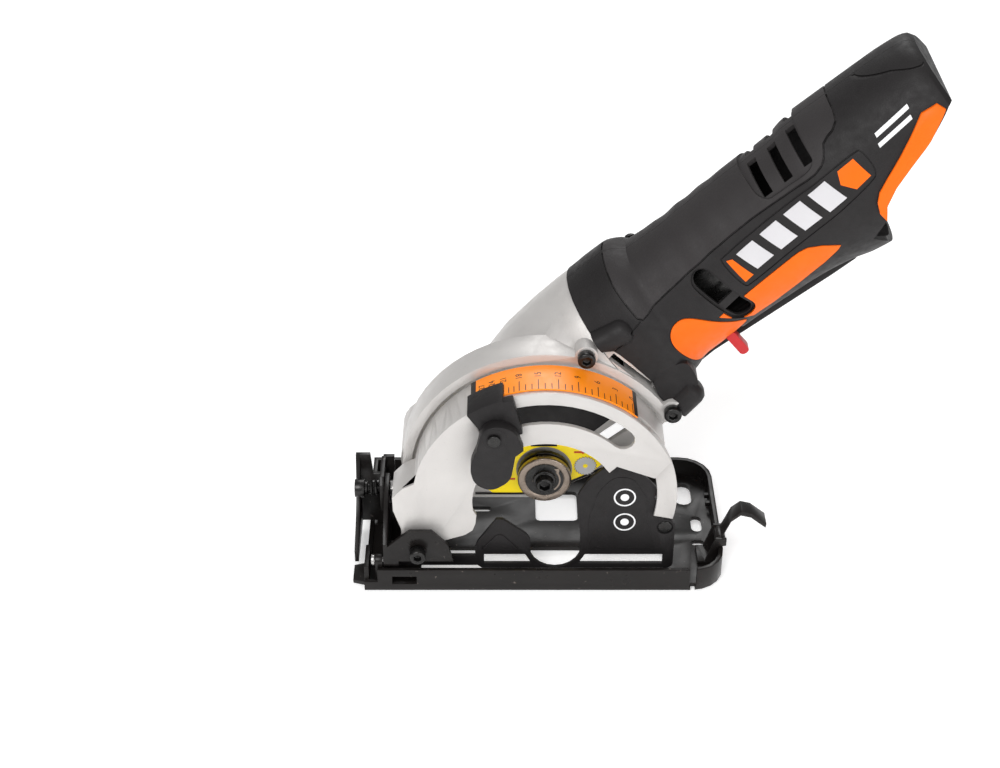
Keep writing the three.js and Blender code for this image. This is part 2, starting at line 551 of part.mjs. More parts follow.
function gearCase() {
  const drumEnd = RING_END - 6;
  const disc = wall([...arc(DRUM_OUTER - 1, -96, drumEnd, 28), [28, 36], [20, 28.6], [-36, 28.6]],
    WEB_Y0, WEB_Y1);
  const rim = wall(sector(DRUM_OUTER - 4, DRUM_OUTER, -96, drumEnd, 28), PARTING_Y, 2);
  const back = wall(sector(DRUM_OUTER - 12, DRUM_OUTER - 0.5, -96, drumEnd, 28), -1, 2);
  const drumRoom = rod([0, -40, SPINDLE_Z], [0, WEB_Y0, SPINDLE_Z], RIM_OUTER + 2, 40);
  const dome = cut(loft(domeSections(), 28), drumRoom, box(-100, 200, -60, PARTING_Y, 0, 300));
  const nose = wall([...arc(NOSE_RADIUS, 100, 280, 12), [-20, 72], [18, 78]], WEB_Y0 + 1, 27);
  const lugs = LUGS.map(([a, w, y1]) => rod3(a, w, PARTING_Y, y1, 5));
  const outer = join(disc, rim, back, dome, nose, ...lugs);

  const inside = domeSections().slice(2).map((row) => [...row]);
  inside[inside.length - 1][0] = COLLAR_A + 1;
  const hollow = cut(loft(inside, 18, 3.4), box(-100, 200, -60, WEB_Y1, 0, 300));
  const gearRoom = wall([...arc(GEAR_ROOM, 100, 280, 12), [-16, 70], [14, 74]], WEB_Y1 + 4.4, 24.6);
  const layRoom = rod([LAY_X, -1, LAY_Z], [LAY_X, 8, LAY_Z], SPUR_MODULE * LAY_TEETH / 2 + 1.6, 28);
  const shaftRoom = rod([LAY_X, -4 - GAP, LAY_Z], [LAY_X, 26 + GAP, LAY_Z], LAY_SHAFT + GAP, 18);
  const faceRoom = rod([LAY_X, 9, LAY_Z], [LAY_X, 16, LAY_Z], FACE_GEAR + 1, 24);
  const spindleHole = rod([0, -20, SPINDLE_Z], [0, 12, SPINDLE_Z], 8 + GAP, 24);
  const exhaust = handleWall(roundedBox(57, 84, 27.2, 33.6, 3, 2), -30, 4);
  const lugHoles = LUGS.map(([a, w, y1]) => rod3(a, w, -15, y1 - 1.5, 2 + GAP, 12));
  const duct = rod([DUCT_X, -9, DUCT_Z], [DUCT_X, 60, DUCT_Z], DUCT_BORE, 28);
  const buttonHole = rod([BUTTON_X, 30, BUTTON_Z], [BUTTON_X, 60, BUTTON_Z], BUTTON_STEM + GAP, 16);
  const buttonSeat = rod([BUTTON_X, BUTTON_SEAT_Y, BUTTON_Z], [BUTTON_X, 60, BUTTON_Z], BUTTON_CAP + GAP, 20);
  const solid = cut(outer, hollow, buttonHole, buttonSeat, gearRoom, layRoom, shaftRoom, faceRoom,
    spindleHole, exhaust, ...lugHoles, duct, plungeLimit(SHEET + 0.9));
  return piece('gear_case', solid, SILVER);
}

// Screw lugs of the gear case: place along and across the handle direction, and far end.
const LUGS = [[82, 71, 4], [93, 24.5, -6]];

function rod3(a, w, y0, y1, radius, steps = 16) {
  const x = a * COS - w * SIN;
  const z = a * SIN + w * COS;
  return rod([x, y0, z], [x, y1, z], radius, steps);
}

const DUCT_X = -50;
const DUCT_Z = 40;
const DUCT_BORE = 11.5;

function dustOutlet() {
  const tube = wall(circle(DUCT_X, DUCT_Z, 15, 28), 2 + GAP, 30, [circle(DUCT_X, DUCT_Z, 12.4, 24)]);
  return piece('dust_outlet', tube, SILVER);
}

function ringScrew(index) {
  const [a, w] = LUGS[index];
  const x = a * COS - w * SIN;
  const z = a * SIN + w * COS;
  const y = PARTING_Y - GAP;
  const body = turnedY([[0, y - 4], [3.4, y - 4], [3.9, y - 3.4], [3.9, y], [2, y], [2, -8], [0, -8]],
    x, z, 16);
  const socket = wall(hexOutline(x, z, 3.4), y - 5, y - 1.8);
  return piece(`case_screw_${index + 1}`, cut(body, socket), DARK_STEEL);
}

// ---- depth setting and rear guard ----
const LEVER_TILT = -28;           // place of the clamp screw along the slot, degrees from straight up

function depthSlider() {
  const tilt = LEVER_TILT;
  const back = wall(sector(SLOT_MID - SLOT_HALF - 3, SLOT_MID + SLOT_HALF - 1, tilt - 6, tilt + 8, 5),
    SLIDER_BACK_Y0, SLIDER_BACK_Y1);
  const neck = wall(sector(SLOT_MID - SLOT_HALF + 0.5, SLOT_MID + SLOT_HALF - 0.5, tilt - 4, tilt + 6, 4),
    SLIDER_BACK_Y0 + 0.2, RING_FACE_Y - 0.6);
  const block = wall(sector(SLOT_MID - SLOT_HALF - 0.5, RIM_OUTER + 1.4, tilt - 6, tilt + 14, 6),
    RING_FACE_Y - 4.6, RING_FACE_Y - GAP);
  const pointer = wall(sector(RIM_OUTER + 1.3, RIM_OUTER + 2.4, tilt - 6, tilt + 10, 6),
    RING_FACE_Y - 4.6, -26);
  const [x, z] = leverAxis();
  const screwHole = rod([x, -60, z], [x, 0, z], 1.8 + GAP, 12);
  return piece('depth_slider', cut(join(back, neck, block, pointer), screwHole), BLACK_PLASTIC);
}

function pointAt(radius, angle) {
  return arc(radius, angle, angle, 1)[0];
}

function leverAxis() {
  return pointAt(SLOT_MID, LEVER_TILT);
}

function depthScrew() {
  const [x, z] = leverAxis();
  const front = RING_FACE_Y - 10.8;
  return piece('depth_screw', turnedY([[0, front - 1.4], [2.8, front - 1.4], [2.8, front], [1.8, front],
    [1.8, SLIDER_BACK_Y1 - 0.1], [0, SLIDER_BACK_Y1 - 0.1]], x, z, 14), DARK_STEEL);
}

function depthLever() {
  const [x, z] = leverAxis();
  const paddle = [[x - 5.5, z + 4], [x + 1, z + 7], [x + 9, z + 4], [x + 12.4, z - 6], [x + 9, z - 9],
    [x + 7, z - 22], [x - 1, z - 27.5], [x - 8.5, z - 24], [x - 10.6, z - 15], [x - 7.4, z - 6]];
  const plate = wall(paddle, RING_FACE_Y - 10.4, RING_FACE_Y - 5);
  const ridge = wall(circle(x, z, 5.4, 18), RING_FACE_Y - 10.6, RING_FACE_Y - 5);
  const hole = rod([x, -60, z], [x, 0, z], 1.8 + GAP, 14);
  return piece('depth_lever', cut(join(plate, ridge), hole), BLACK_PLASTIC);
}

function rearGuard() {
  const band = wall(sector(SEGMENT_INNER, RIM_OUTER - 0.2, 50, 102, 18), SEGMENT_Y0, SEGMENT_Y1);
  return piece('rear_guard', band, SILVER);
}

// ---- drive ----
function spindle() {
  const profile = [[0, -15.2], [5, -15.2], [5, -13], [6.2, -12.6], [6.2, -7.6], [4, -7.6], [4, 20], [0, 20]];
  return piece('spindle', turnedY(profile, 0, SPINDLE_Z, 16), STEEL);
}

function bearing(name, x, z, y0, y1, inner, outer) {
  const ring = wall(circle(x, z, outer, 20), y0, y1, [circle(x, z, inner, 14)]);
  return piece(name, ring, STEEL);
}

function innerFlange() {
  const profile = [[5 + GAP, -15], [12, -15], [12, -12.9], [7, -12.9], [5 + GAP, -12.9]];
  const closed = [...profile, profile[0]];
  return piece('inner_flange', turnedY(closed, 0, SPINDLE_Z, 24), DARK_STEEL);
}

function outerFlange() {
  const profile = [[3 + GAP, -19], [8.6, -19], [9, -19.4], [11.4, -19.4], [12, -18.9], [12, -16.6],
    [3 + GAP, -16.6], [3 + GAP, -19]];
  return piece('outer_flange', turnedY(profile, 0, SPINDLE_Z, 28), BRONZE);
}

function bladeBolt() {
  const y = -19.4;
  const flange = turnedY([[0, y - 4.6], [3.4, y - 4.6], [3.9, y - 4], [3.9, y - 0.6], [5.2, y - 0.6],
    [5.2, y], [3, y], [3, -15.5], [0, -15.5]], 0, SPINDLE_Z, 18);
  const socket = wall(hexOutline(0, SPINDLE_Z, 4.4), y - 6, y - 1.6);
  return piece('blade_bolt', cut(flange, socket), DARK_STEEL);
}

const GEAR_Y0 = 0.5;
const GEAR_Y1 = 6.5;

function spindleGear() {
  const wheel = gear(SPINDLE_TEETH, GEAR_Y0, GEAR_Y1, 0, SPINDLE_Z, 4 + GAP, layPhase()[0]);
  return piece('spindle_gear', wheel, STEEL);
}

function layGear() {
  const wheel = gear(LAY_TEETH, GEAR_Y0, GEAR_Y1, LAY_X, LAY_Z, LAY_SHAFT + GAP, layPhase()[1]);
  return piece('lay_gear', wheel, STEEL);
}

// Tooth of one gear faces a gap of the other.
function layPhase() {
  const towards = THREE.MathUtils.radToDeg(Math.atan2(LAY_X, LAY_Z - SPINDLE_Z));
  return [towards / (360 / SPINDLE_TEETH), (towards + 180) / (360 / LAY_TEETH) + 0.5];
}

function layShaft() {
  const profile = [[0, -4], [LAY_SHAFT, -4], [LAY_SHAFT, 26], [0, 26]];
  return piece('lay_shaft', turnedY(profile, LAY_X, LAY_Z, 18), STEEL);
}

function bevelGear() {
  const bore = LAY_SHAFT + GAP;
  const profile = [[bore, 9.5], [FACE_GEAR, 9.5], [FACE_GEAR, 13.4], [FACE_GEAR - 3.4, 15.4],
    [8.6, 13.6], [bore, 13.6], [bore, 9.5]];
  return piece('face_gear', turnedY(profile, LAY_X, LAY_Z, 20), DARK_STEEL);
}

function motorShaft() {
  const profile = [[0, PINION_A - 0.5], [2.4, PINION_A - 0.5], [2.4, 176], [0, 176]];
  return piece('motor_shaft', turnedA(profile, 12), STEEL);
}

function motorPinion() {
  const bore = 2.4 + GAP;
  const profile = [[bore, PINION_A], [3.9, PINION_A], [4.2, PINION_A + 0.5], [4.2, PINION_A + 8.5],
    [bore, PINION_A + 8.5], [bore, PINION_A]];
  return piece('motor_pinion', turnedA(profile, 16), DARK_STEEL);
}

function motorFan() {
  const hub = turnedA([[2.4 + GAP, 97], [7, 97], [7, 106], [2.4 + GAP, 106], [2.4 + GAP, 97]], 12);
  const disc = turnedA([[6.5, 97], [24, 97], [24, 98.4], [6.5, 98.4], [6.5, 97]], 18);
  const blades = Array.from({ length: 9 }, (_, i) => {
    const blade = new THREE.BoxGeometry(7.6, 1.2, 12.6).translate(101.8, 0, 13);
    return lean(blade.rotateX(2 * Math.PI * i / 9).translate(0, HANDLE_Y, HANDLE_W));
  });
  return piece('motor_fan', join(hub, disc, ...blades), BLACK_PLASTIC);
}

function motorCan() {
  const shell = turnedA([[4.2, 112], [17, 112], [17, 160], [4.2, 160], [4.2, 112]], 20);
  return piece('motor_can', shell, DARK_STEEL);
}

function motorWinding() {
  const wound = turnedA([[6, 160 + GAP], [13, 160 + GAP], [13, 168], [6, 168], [6, 160 + GAP]], 16);
  return piece('motor_end_bell', wound, COPPER);
}

// Push button on the far side of the gear case.
const BUTTON_X = -4;
const BUTTON_Z = 76;
const BUTTON_SEAT_Y = 48.4;
const BUTTON_CAP = 5.6;
const BUTTON_STEM = 3;

function lockButton() {
  const y = BUTTON_SEAT_Y + 2.7;
  const profile = [[0, y - 7], [BUTTON_STEM, y - 7], [BUTTON_STEM, y], [BUTTON_CAP, y], [BUTTON_CAP, y + 3],
    [BUTTON_CAP - 0.8, y + 3.8], [0, y + 3.8]];
  return piece('lock_button', turnedY(profile, BUTTON_X, BUTTON_Z, 18), BLACK_PLASTIC);
}

// ---- handle ----
// Distance along, upper half height, half width, lower half height.
function barrelSections() {
  return [[COLLAR_A, 36.4, 33.6, 33], [98, 37, 34, 34], [107, 37.2, 34, 33], [113, 35, 32, 31],
    [117, 31.6, 29.6, 29.6], [130, 31.6, 28.4, 29.4], [150, 33, 28, 29], [172, 34, 28.6, 29],
    [182, 34.4, 29.4, 29.4], [194, 35, 31, 31], [202, 36.8, 32.2, 33], [212, 37, 32.6, 34],
    [HANDLE_END_A - 18, 37.4, 32.6, 34], [HANDLE_END_A - 7, 36.8, 32.2, 33.4],
    [HANDLE_END_A - 2, 35.4, 31.4, 32.4], [HANDLE_END_A, 32.4, 29, 30]]
    .map(([a, high, wide, low]) => [a, HANDLE_W, high, wide, low]);
}

// Edge of the shell round the battery, hollowed towards the handle.
function dockEdge() {
  const [a0, w0] = DOCK_LOW;
  const [a1, w1] = DOCK_HIGH;
  return [[a0, w0 + 2], [a0 + 9.5, w0 + 7], [a0 + 13.5, w0 + 13.5], [a0 + 21, w0 + 18.5],
    [a0 + 31, w0 + 22.5], [a1 - 13, w1 - 6.5], [a1, w1]];
}

function dockCut() {
  const [a0, w0] = DOCK_LOW;
  const [a1, w1] = DOCK_HIGH;
  return handleWall([[a0 + 3, w0 - 40], [a0 + 3, w0 - 6], ...dockEdge(), [a1 + 60, w1],
    [a1 + 60, w0 - 40]], -60, 100);
}

function handleShell(side) {
  const outer = loft(barrelSections(), 32);
  const innerSections = barrelSections().map((row) => [...row]);
  innerSections[0][0] -= 2;
  innerSections[innerSections.length - 1][0] -= SHELL_WALL;
  const inner = loft(innerSections, 16, SHELL_WALL + 0.4);
  const frontGuard = handleWall([[91, 30], [89, 20], [91, 12.5], [95, 10.5], [98, 12], [101, 19],
    [102.6, 22], [102.6, 30]], 8, 32);
  const half = side === 'near' ? box(-200, 400, -100, HANDLE_Y - 0.1, -100, 500)
    : box(-200, 400, HANDLE_Y + 0.1, 200, -100, 500);
  const triggerGap = handleWall([[102.8, 0], [102.8, 35], [190, 35], [204, 29.4], [204, 0]], 10.7, 29.3);
  const topVents = [184, 194.5, 205].map((a) => wedge(a - 2.2, a + 2.2, 50, 84, 20, 45, 6));
  const sideVents = [ventSlot(0, 0.56), ventSlot(0.74, 1)];
  const farVents = topVents.concat(sideVents).map((tool) => tool.clone().translate(0, -HANDLE_Y, 0)
    .scale(1, -1, 1).translate(0, HANDLE_Y, 0));
  const lockGap = handleWall(roundedBox(LOCK_A - GAP - 0.3, LOCK_A + LOCK_LONG + 4, 18, 32.6, 1, 1),
    0, 10.8);
  const bosses = SHELL_SCREWS.map(([a, w]) => rod3(a, w, HANDLE_Y - 24, HANDLE_Y + 27, 3.8, 12));
  const bores = SHELL_SCREWS.map(([a, w]) => rod3(a, w, HANDLE_Y - 20, HANDLE_Y + 40, 1.6 + GAP, 10));
  const heads = SHELL_SCREWS.map(([a, w]) => rod3(a, w, HANDLE_Y + 22, HANDLE_Y + 40, 3.2 + GAP, 12));
  const kept = common(join(outer, frontGuard), half);
  const bossSolids = bosses.map((boss) => common(common(boss, outer), half));
  const drum = rod([0, -60, SPINDLE_Z], [0, 2 + GAP, SPINDLE_Z], DRUM_OUTER + GAP, 56);
  const shell = cut(kept, inner, drum, dockCut(), triggerGap, lockGap, dockRoom(),
    ...(side === 'near' ? topVents.concat(sideVents) : farVents));
  const whole = cut(join(shell, ...bossSolids), ...bores, ...(side === 'far' ? heads : []), dockCut());
  return piece(`handle_${side}`, whole, BLACK_PLASTIC);
}

// Part of the slanted motor vent on the handle's side, as shares of its length.
function ventSlot(from, to) {
  const [a0, w0] = [140.6, 65];
  const [a1, w1] = [144.6, 43];
  const half = 4.3;
  const length = Math.hypot(a1 - a0, w1 - w0);
  const [ua, uw] = [(a1 - a0) / length, (w1 - w0) / length];
  const point = (along, across) => [a0 + ua * along - uw * across, w0 + uw * along + ua * across];
  const start = from === 0 ? [[0, half], [-2.6, half * 0.7], [-half, 0], [-2.6, -half * 0.7], [0, -half]]
    : [[from * length, half], [from * length, -half]];
  const end = to === 1 ? [[length, -half], [length + 2.6, -half * 0.7], [length + half, 0],
    [length + 2.6, half * 0.7], [length, half]] : [[to * length, -half], [to * length, half]];
  return handleWall([...start, ...end].map(([along, across]) => point(along, across)), -40, HANDLE_Y - 12);
}

const SHELL_SCREWS = [[114, 76], [215, 76]];

function dockRoom() {
  const [a0, w0] = DOCK_LOW;
  const [a1, w1] = DOCK_HIGH;
  return handleWall([[a0 - 6, w0 - 3], [a0 - 6, w0 + 14], [a1 - 6, w1 + 8], [a1 + 4, w1 + 2], [a1, w1 - 5]],
    HANDLE_Y - 22, HANDLE_Y + 22);
}

const CONTACTS = [-9, -3, 3, 9];
const DOCK_LIFT = 8;              // battery rails above the shell's edge

function batteryDock() {
  const [a0, w0] = DOCK_LOW;
  const [a1, w1] = DOCK_HIGH;
  const slope = (w1 - w0 - 2) / (a1 - a0);
  const at = (a, lift) => [a, w0 + DOCK_LIFT + (a - a0) * slope + lift];
  const block = (from, to, low, high, y0, y1) =>
    handleWall([at(from, low), at(to, low), at(to, high), at(from, high)], y0, y1);
  const plate = block(a0 + 2, a1 - 8, 0.2, 5, HANDLE_Y - 21.4, HANDLE_Y + 21.4);
  const rail = (y) => block(a0 + 8, a1 - 12, -4.4, 1, y - 1.6, y + 1.6);
  const lip = (y0) => block(a0 + 8, a1 - 12, -4.4, -2.4, y0, y0 + 4);
  const slots = CONTACTS.map((y) => block(a0 + 14, a0 + 32, -1, 3.4, HANDLE_Y + y - 1, HANDLE_Y + y + 1));
  const body = join(plate, rail(HANDLE_Y - 17), rail(HANDLE_Y + 17), lip(HANDLE_Y - 17),
    lip(HANDLE_Y + 13));
  return piece('battery_dock', cut(body, ...slots), BLACK_PLASTIC);
}

function batteryContacts() {
  const [a0, w0] = DOCK_LOW;
  const slope = (DOCK_HIGH[1] - w0 - 2) / (DOCK_HIGH[0] - a0);
  const at = (a, lift) => [a, w0 + DOCK_LIFT + (a - a0) * slope + lift];
  const blades = CONTACTS.map((y) => handleWall([at(a0 + 16, -0.6), at(a0 + 30, -0.6), at(a0 + 30, 3),
    at(a0 + 16, 3)], HANDLE_Y + y - 0.4, HANDLE_Y + y + 0.4));
  return blades.map((blade, i) => piece(`battery_contact_${i + 1}`, blade, COPPER));
}

function batteryBumper() {
  const [a0, w0] = DOCK_LOW;
  const [a1, w1] = DOCK_HIGH;
  const outline = [...dockEdge().slice(1, -1).map(([a, w]) => [a, w + 0.4]), [a1 - 1.4, w1 + 0.4],
    [a1 - 3, w1 + 4], [a1 - 10, w1 + 4.6], [a1 - 17, w1 + 0.6], [a0 + 29.8, w0 + 29.1],
    [a0 + 20.9, w0 + 24.8], [a0 + 14.5, w0 + 21.3], [a0 + 11.4, w0 + 18], [a0 + 9.4, w0 + 13]];
  const grown = (by) => loft(barrelSections().map(([a, w, high, wide, low]) =>
    [a, w, high + by, wide + by, low + by]), 32);
  const strip = common(handleWall(outline, -30, HANDLE_Y - 10), grown(1.6));
  return piece('battery_bumper', cut(strip, grown(GAP)), ORANGE);
}

function trigger() {
  const outline = [[103.4, 19], [108, 22.4], [118, 23.4], [180, 22.4], [192, 22.6], [199, 24.4], [200, 27],
    [197, 30.4], [190, 29.6], [106, 28.6], [103.4, 26]];
  const body = handleWall(outline, 11.2, 28.8);
  const rib = handleWall([[112, 25], [116, 30], [170, 30.6], [176, 27]], 18, 22);
  const hole = rod3(TRIGGER_PIN[0], TRIGGER_PIN[1], 0, 40, 1.5 + GAP, 12);
  return piece('trigger', cut(join(body, rib), hole), BLACK_PLASTIC);
}

const TRIGGER_PIN = [194.5, 26.4];

function triggerPin() {
  return piece('trigger_pin', rod3(TRIGGER_PIN[0], TRIGGER_PIN[1], 10.9, 29.1, 1.5, 12), STEEL);
}

function switchBlock() {
  return piece('switch_block', lean(box(178, 200, 12, 28, 37, 52)), BLACK_PLASTIC);
}

// Lock-off tab below the near edge of the handle; it slides back along the handle.
const LOCK_A = 128.6;
const LOCK_LONG = 4.4;

function lockOff() {
  const cap = handleWall(roundedBox(LOCK_A, LOCK_A + LOCK_LONG, 19, 32, 1.8, 3), 1.6, 6.4);
  const stem = handleWall([[LOCK_A + 1, 26], [LOCK_A + 3.4, 26], [LOCK_A + 3.4, 30], [LOCK_A + 1, 30]],
    6.2, 10.2);
  return piece('lock_off', join(cap, stem), RED);
}

function shellScrew(index) {
  const [a, w] = SHELL_SCREWS[index];
  const x = a * COS - w * SIN;
  const z = a * SIN + w * COS;
  const y = HANDLE_Y + 22 + GAP;
  const body = turnedY([[0, HANDLE_Y - 12], [1.6, HANDLE_Y - 12], [1.6, y], [3.2, y], [3.2, y + 1.6],
    [2.6, y + 2.4], [0, y + 2.4]], x, z, 14);
  return piece(`shell_screw_${index + 1}`, body, DARK_STEEL);
}

const saw = new THREE.Group();
saw.name = 'plunge_saw';
const group = (name, ...members) => {
  const holder = new THREE.Group();
  holder.name = name;
  holder.add(...members);
  saw.add(holder);
};

group('sole_group', basePlate(), frontBracket(), tiltHinge(), tiltPin(), rearLeverBracket(), rearLever(),
  bevelScrew(), bevelSpring(), bevelNut());
group('frame_group', pivotBracket(), guardPlateNear(), guardRivet(), pivotBolt(), pivotNut());
group('casting_group', guardRing(), pivotBush(), depthScale(), gearCase(), dustOutlet(), ringScrew(0),
  ringScrew(1));
group('depth_group', depthSlider(), depthScrew(), depthLever(), rearGuard());
group('drive_group', spindle(), spindleGear(), innerFlange(), outerFlange(), bladeBolt(),
  bearing('spindle_bearing', 0, SPINDLE_Z, -7.3, -2.4, 4 + GAP, 8), layShaft(), layGear(), bevelGear(),
  lockButton(), motorShaft(), motorPinion(), motorFan(), motorCan(), motorWinding());
group('handle_group', handleShell('near'), handleShell('far'), batteryDock(), ...batteryContacts(),
  batteryBumper(), trigger(), triggerPin(), switchBlock(), lockOff(), shellScrew(0), shellScrew(1));

export default saw;
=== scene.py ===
import json
import math

import bpy
import bmesh
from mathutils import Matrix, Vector


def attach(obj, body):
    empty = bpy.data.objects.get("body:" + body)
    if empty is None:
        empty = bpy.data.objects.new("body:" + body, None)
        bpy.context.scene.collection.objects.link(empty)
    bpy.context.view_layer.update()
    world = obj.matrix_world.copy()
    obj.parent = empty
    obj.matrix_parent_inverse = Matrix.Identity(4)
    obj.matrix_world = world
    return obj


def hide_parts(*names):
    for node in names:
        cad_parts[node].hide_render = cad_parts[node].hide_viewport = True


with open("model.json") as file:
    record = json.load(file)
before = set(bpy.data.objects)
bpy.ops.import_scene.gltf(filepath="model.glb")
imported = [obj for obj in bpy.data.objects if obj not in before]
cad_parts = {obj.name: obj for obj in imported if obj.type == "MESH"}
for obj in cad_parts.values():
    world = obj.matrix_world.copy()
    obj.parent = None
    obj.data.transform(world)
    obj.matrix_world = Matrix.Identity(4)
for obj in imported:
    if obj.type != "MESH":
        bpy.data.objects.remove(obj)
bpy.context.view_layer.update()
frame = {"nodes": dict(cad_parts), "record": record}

# Places are in millimetres in the frame of the part: X along the sole, blade side towards -Y, Z up.
MM = 0.001
SPINDLE_Z = 44.5
HANDLE_ANGLE = math.radians(40)
COS, SIN = math.cos(HANDLE_ANGLE), math.sin(HANDLE_ANGLE)
WEB_FACE = -11.02                 # just in front of the web behind the blade


# ---- shader helpers ----
class Shader:
    """Builds one node material from object-space textures."""

    def __init__(self, name, color, rough, metal=0.0):
        self.mat = bpy.data.materials.new(name)
        self.mat.use_nodes = True
        self.tree = self.mat.node_tree
        self.bsdf = self.tree.nodes["Principled BSDF"]
        self.bsdf.inputs["Metallic"].default_value = metal
        self.coords = self.tree.nodes.new("ShaderNodeTexCoord").outputs["Object"]
        self.color = self.rgb(color)
        self.rough = rough
        self.height = None

    def new(self, kind, **values):
        node = self.tree.nodes.new(kind)
        for key, value in values.items():
            setattr(node, key, value)
        return node

    def put(self, socket, value):
        if isinstance(value, bpy.types.NodeSocket):
            self.tree.links.new(value, socket)
        else:
            socket.default_value = value

    def rgb(self, value):
        return (*value, 1.0) if not isinstance(value, bpy.types.NodeSocket) and len(value) == 3 else value

    def mix(self, factor, a, b):
        node = self.new("ShaderNodeMix", data_type="RGBA")
        self.put(node.inputs["Factor"], factor)
        self.put(node.inputs[6], self.rgb(a))
        self.put(node.inputs[7], self.rgb(b))
        return node.outputs[2]

    def noise(self, scale, detail=3.0, rough=0.5, stretch=None):
        source = self.coords
        if stretch:
            mapping = self.new("ShaderNodeMapping")
            self.put(mapping.inputs["Vector"], source)
            mapping.inputs["Scale"].default_value = stretch
            source = mapping.outputs[0]
        node = self.new("ShaderNodeTexNoise")
        self.put(node.inputs["Vector"], source)
        node.inputs["Scale"].default_value = scale
        node.inputs["Detail"].default_value = detail
        node.inputs["Roughness"].default_value = rough
        return node.outputs["Fac"]

    def cells(self, scale):
        node = self.new("ShaderNodeTexVoronoi")
        self.put(node.inputs["Vector"], self.coords)
        node.inputs["Scale"].default_value = scale
        return node.outputs["Distance"]

    def ramp(self, value, low, high, out_low=0.0, out_high=1.0):
        """The stretch of a value between low and high, mapped to another stretch."""
        node = self.new("ShaderNodeMapRange")
        self.put(node.inputs["Value"], value)
        limits = {"From Min": low, "From Max": high, "To Min": out_low, "To Max": out_high}
        for name, number in limits.items():
            node.inputs[name].default_value = number
        return node.outputs[0]

    def bump(self, value, distance, strength):
        """Adds a layer of relief on top of the layers so far."""
        node = self.new("ShaderNodeBump")
        node.inputs["Distance"].default_value = distance
        node.inputs["Strength"].default_value = strength
        self.put(node.inputs["Height"], value)
        if self.height is not None:
            self.put(node.inputs["Normal"], self.height)
        self.height = node.outputs[0]

    def done(self, **sockets):
        """Connects the layers; a word of a socket's name is split with an underscore."""
        self.put(self.bsdf.inputs["Base Color"], self.color)
        self.put(self.bsdf.inputs["Roughness"], self.rough)
        if self.height is not None:
            self.put(self.bsdf.inputs["Normal"], self.height)
        for name, value in sockets.items():
            self.bsdf.inputs[name.replace("_", " ")].default_value = value
        return self.mat


def cast_silver():
    """Painted casting: fine grain, faint specks and a slight unevenness."""
    s = Shader("cast_silver", (0.6, 0.58, 0.56), 0.4, 0.35)
    s.color = s.mix(s.noise(60, 4), (0.55, 0.53, 0.515), (0.63, 0.61, 0.59))
    s.color = s.mix(s.ramp(s.noise(900, 2), 0.66, 0.8, 0.0, 0.5), s.color, (0.45, 0.44, 0.43))
    s.rough = s.ramp(s.noise(220, 3), 0.3, 0.7, 0.36, 0.52)
    s.bump(s.noise(1500, 2, 0.6), 0.00012, 0.55)
    s.bump(s.noise(90, 3), 0.0004, 0.12)
    return s.done(Coat_Weight=0.12, Coat_Roughness=0.35)


def black_steel():
    """Blackened sheet with a few worn specks."""
    s = Shader("black_steel", (0.02, 0.018, 0.018), 0.22, 0.0)
    s.color = s.mix(s.noise(45, 4), (0.007, 0.0062, 0.006), (0.016, 0.0135, 0.0125))
    s.color = s.mix(s.ramp(s.noise(420, 3), 0.7, 0.78), s.color, (0.12, 0.1, 0.09))
    s.rough = s.ramp(s.noise(130, 4), 0.3, 0.7, 0.26, 0.42)
    s.bump(s.noise(700, 3), 0.00008, 0.3)
    s.bump(s.noise(55, 2), 0.0005, 0.12)
    return s.done(Specular_IOR_Level=0.22, Coat_Weight=0.1, Coat_Roughness=0.2)


def black_plastic():
    """Moulded plastic with a spark-eroded grain."""
    s = Shader("black_plastic", (0.035, 0.032, 0.033), 0.5)
    s.color = s.mix(s.noise(70, 3), (0.012, 0.011, 0.0112), (0.022, 0.02, 0.0205))
    s.rough = s.ramp(s.noise(300, 3), 0.3, 0.7, 0.42, 0.62)
    s.bump(s.cells(1500), 0.00008, 0.4)
    s.bump(s.noise(120, 3), 0.0002, 0.15)
    return s.done(Specular_IOR_Level=0.22)


def metal(name, dark, light, rough, stretch=(1, 12, 1)):
    """Turned or drawn metal with fine lines across Y."""
    s = Shader(name, light, rough, 0.9)
    s.color = s.mix(s.noise(180, 4, 0.6, stretch), dark, light)
    s.rough = s.ramp(s.noise(400, 3, 0.5, stretch), 0.3, 0.7, rough * 0.75, rough * 1.3)
    s.bump(s.noise(900, 2, 0.5, stretch), 0.00006, 0.35)
    return s.done()


def plain_plastic(name, dark, light, rough):
    s = Shader(name, light, rough)
    s.color = s.mix(s.noise(80, 3), dark, light)
    s.rough = s.ramp(s.noise(260, 3), 0.3, 0.7, rough * 0.8, rough * 1.2)
    s.bump(s.noise(1400, 2), 0.00006, 0.35)
    return s.done(Specular_IOR_Level=0.25)


def rubber():
    """Soft grip with a coarser grain than the hard plastic."""
    s = Shader("soft_grip", (0.05, 0.045, 0.046), 0.6)
    s.color = s.mix(s.noise(50, 3), (0.026, 0.0235, 0.024), (0.04, 0.0365, 0.037))
    s.rough = s.ramp(s.noise(240, 3), 0.3, 0.7, 0.5, 0.66)
    s.bump(s.cells(1100), 0.0001, 0.45)
    s.bump(s.noise(150, 3), 0.0002, 0.15)
    return s.done(Specular_IOR_Level=0.22)


def ink(name, color, rough=0.4, spread=0.06, glow=0.0):
    """Printed or foil surface; glow lifts a print that lies deep in the chamber's shade."""
    low = tuple(max(0.0, c * (1 - spread)) for c in color)
    s = Shader(name, color, rough)
    s.color = s.mix(s.noise(120, 3), low, color)
    s.rough = s.ramp(s.noise(300, 2), 0.3, 0.7, rough * 0.85, rough * 1.15)
    s.bump(s.noise(1200, 2), 0.00003, 0.25)
    return s.done(Emission_Color=(*color, 1.0), Emission_Strength=glow)


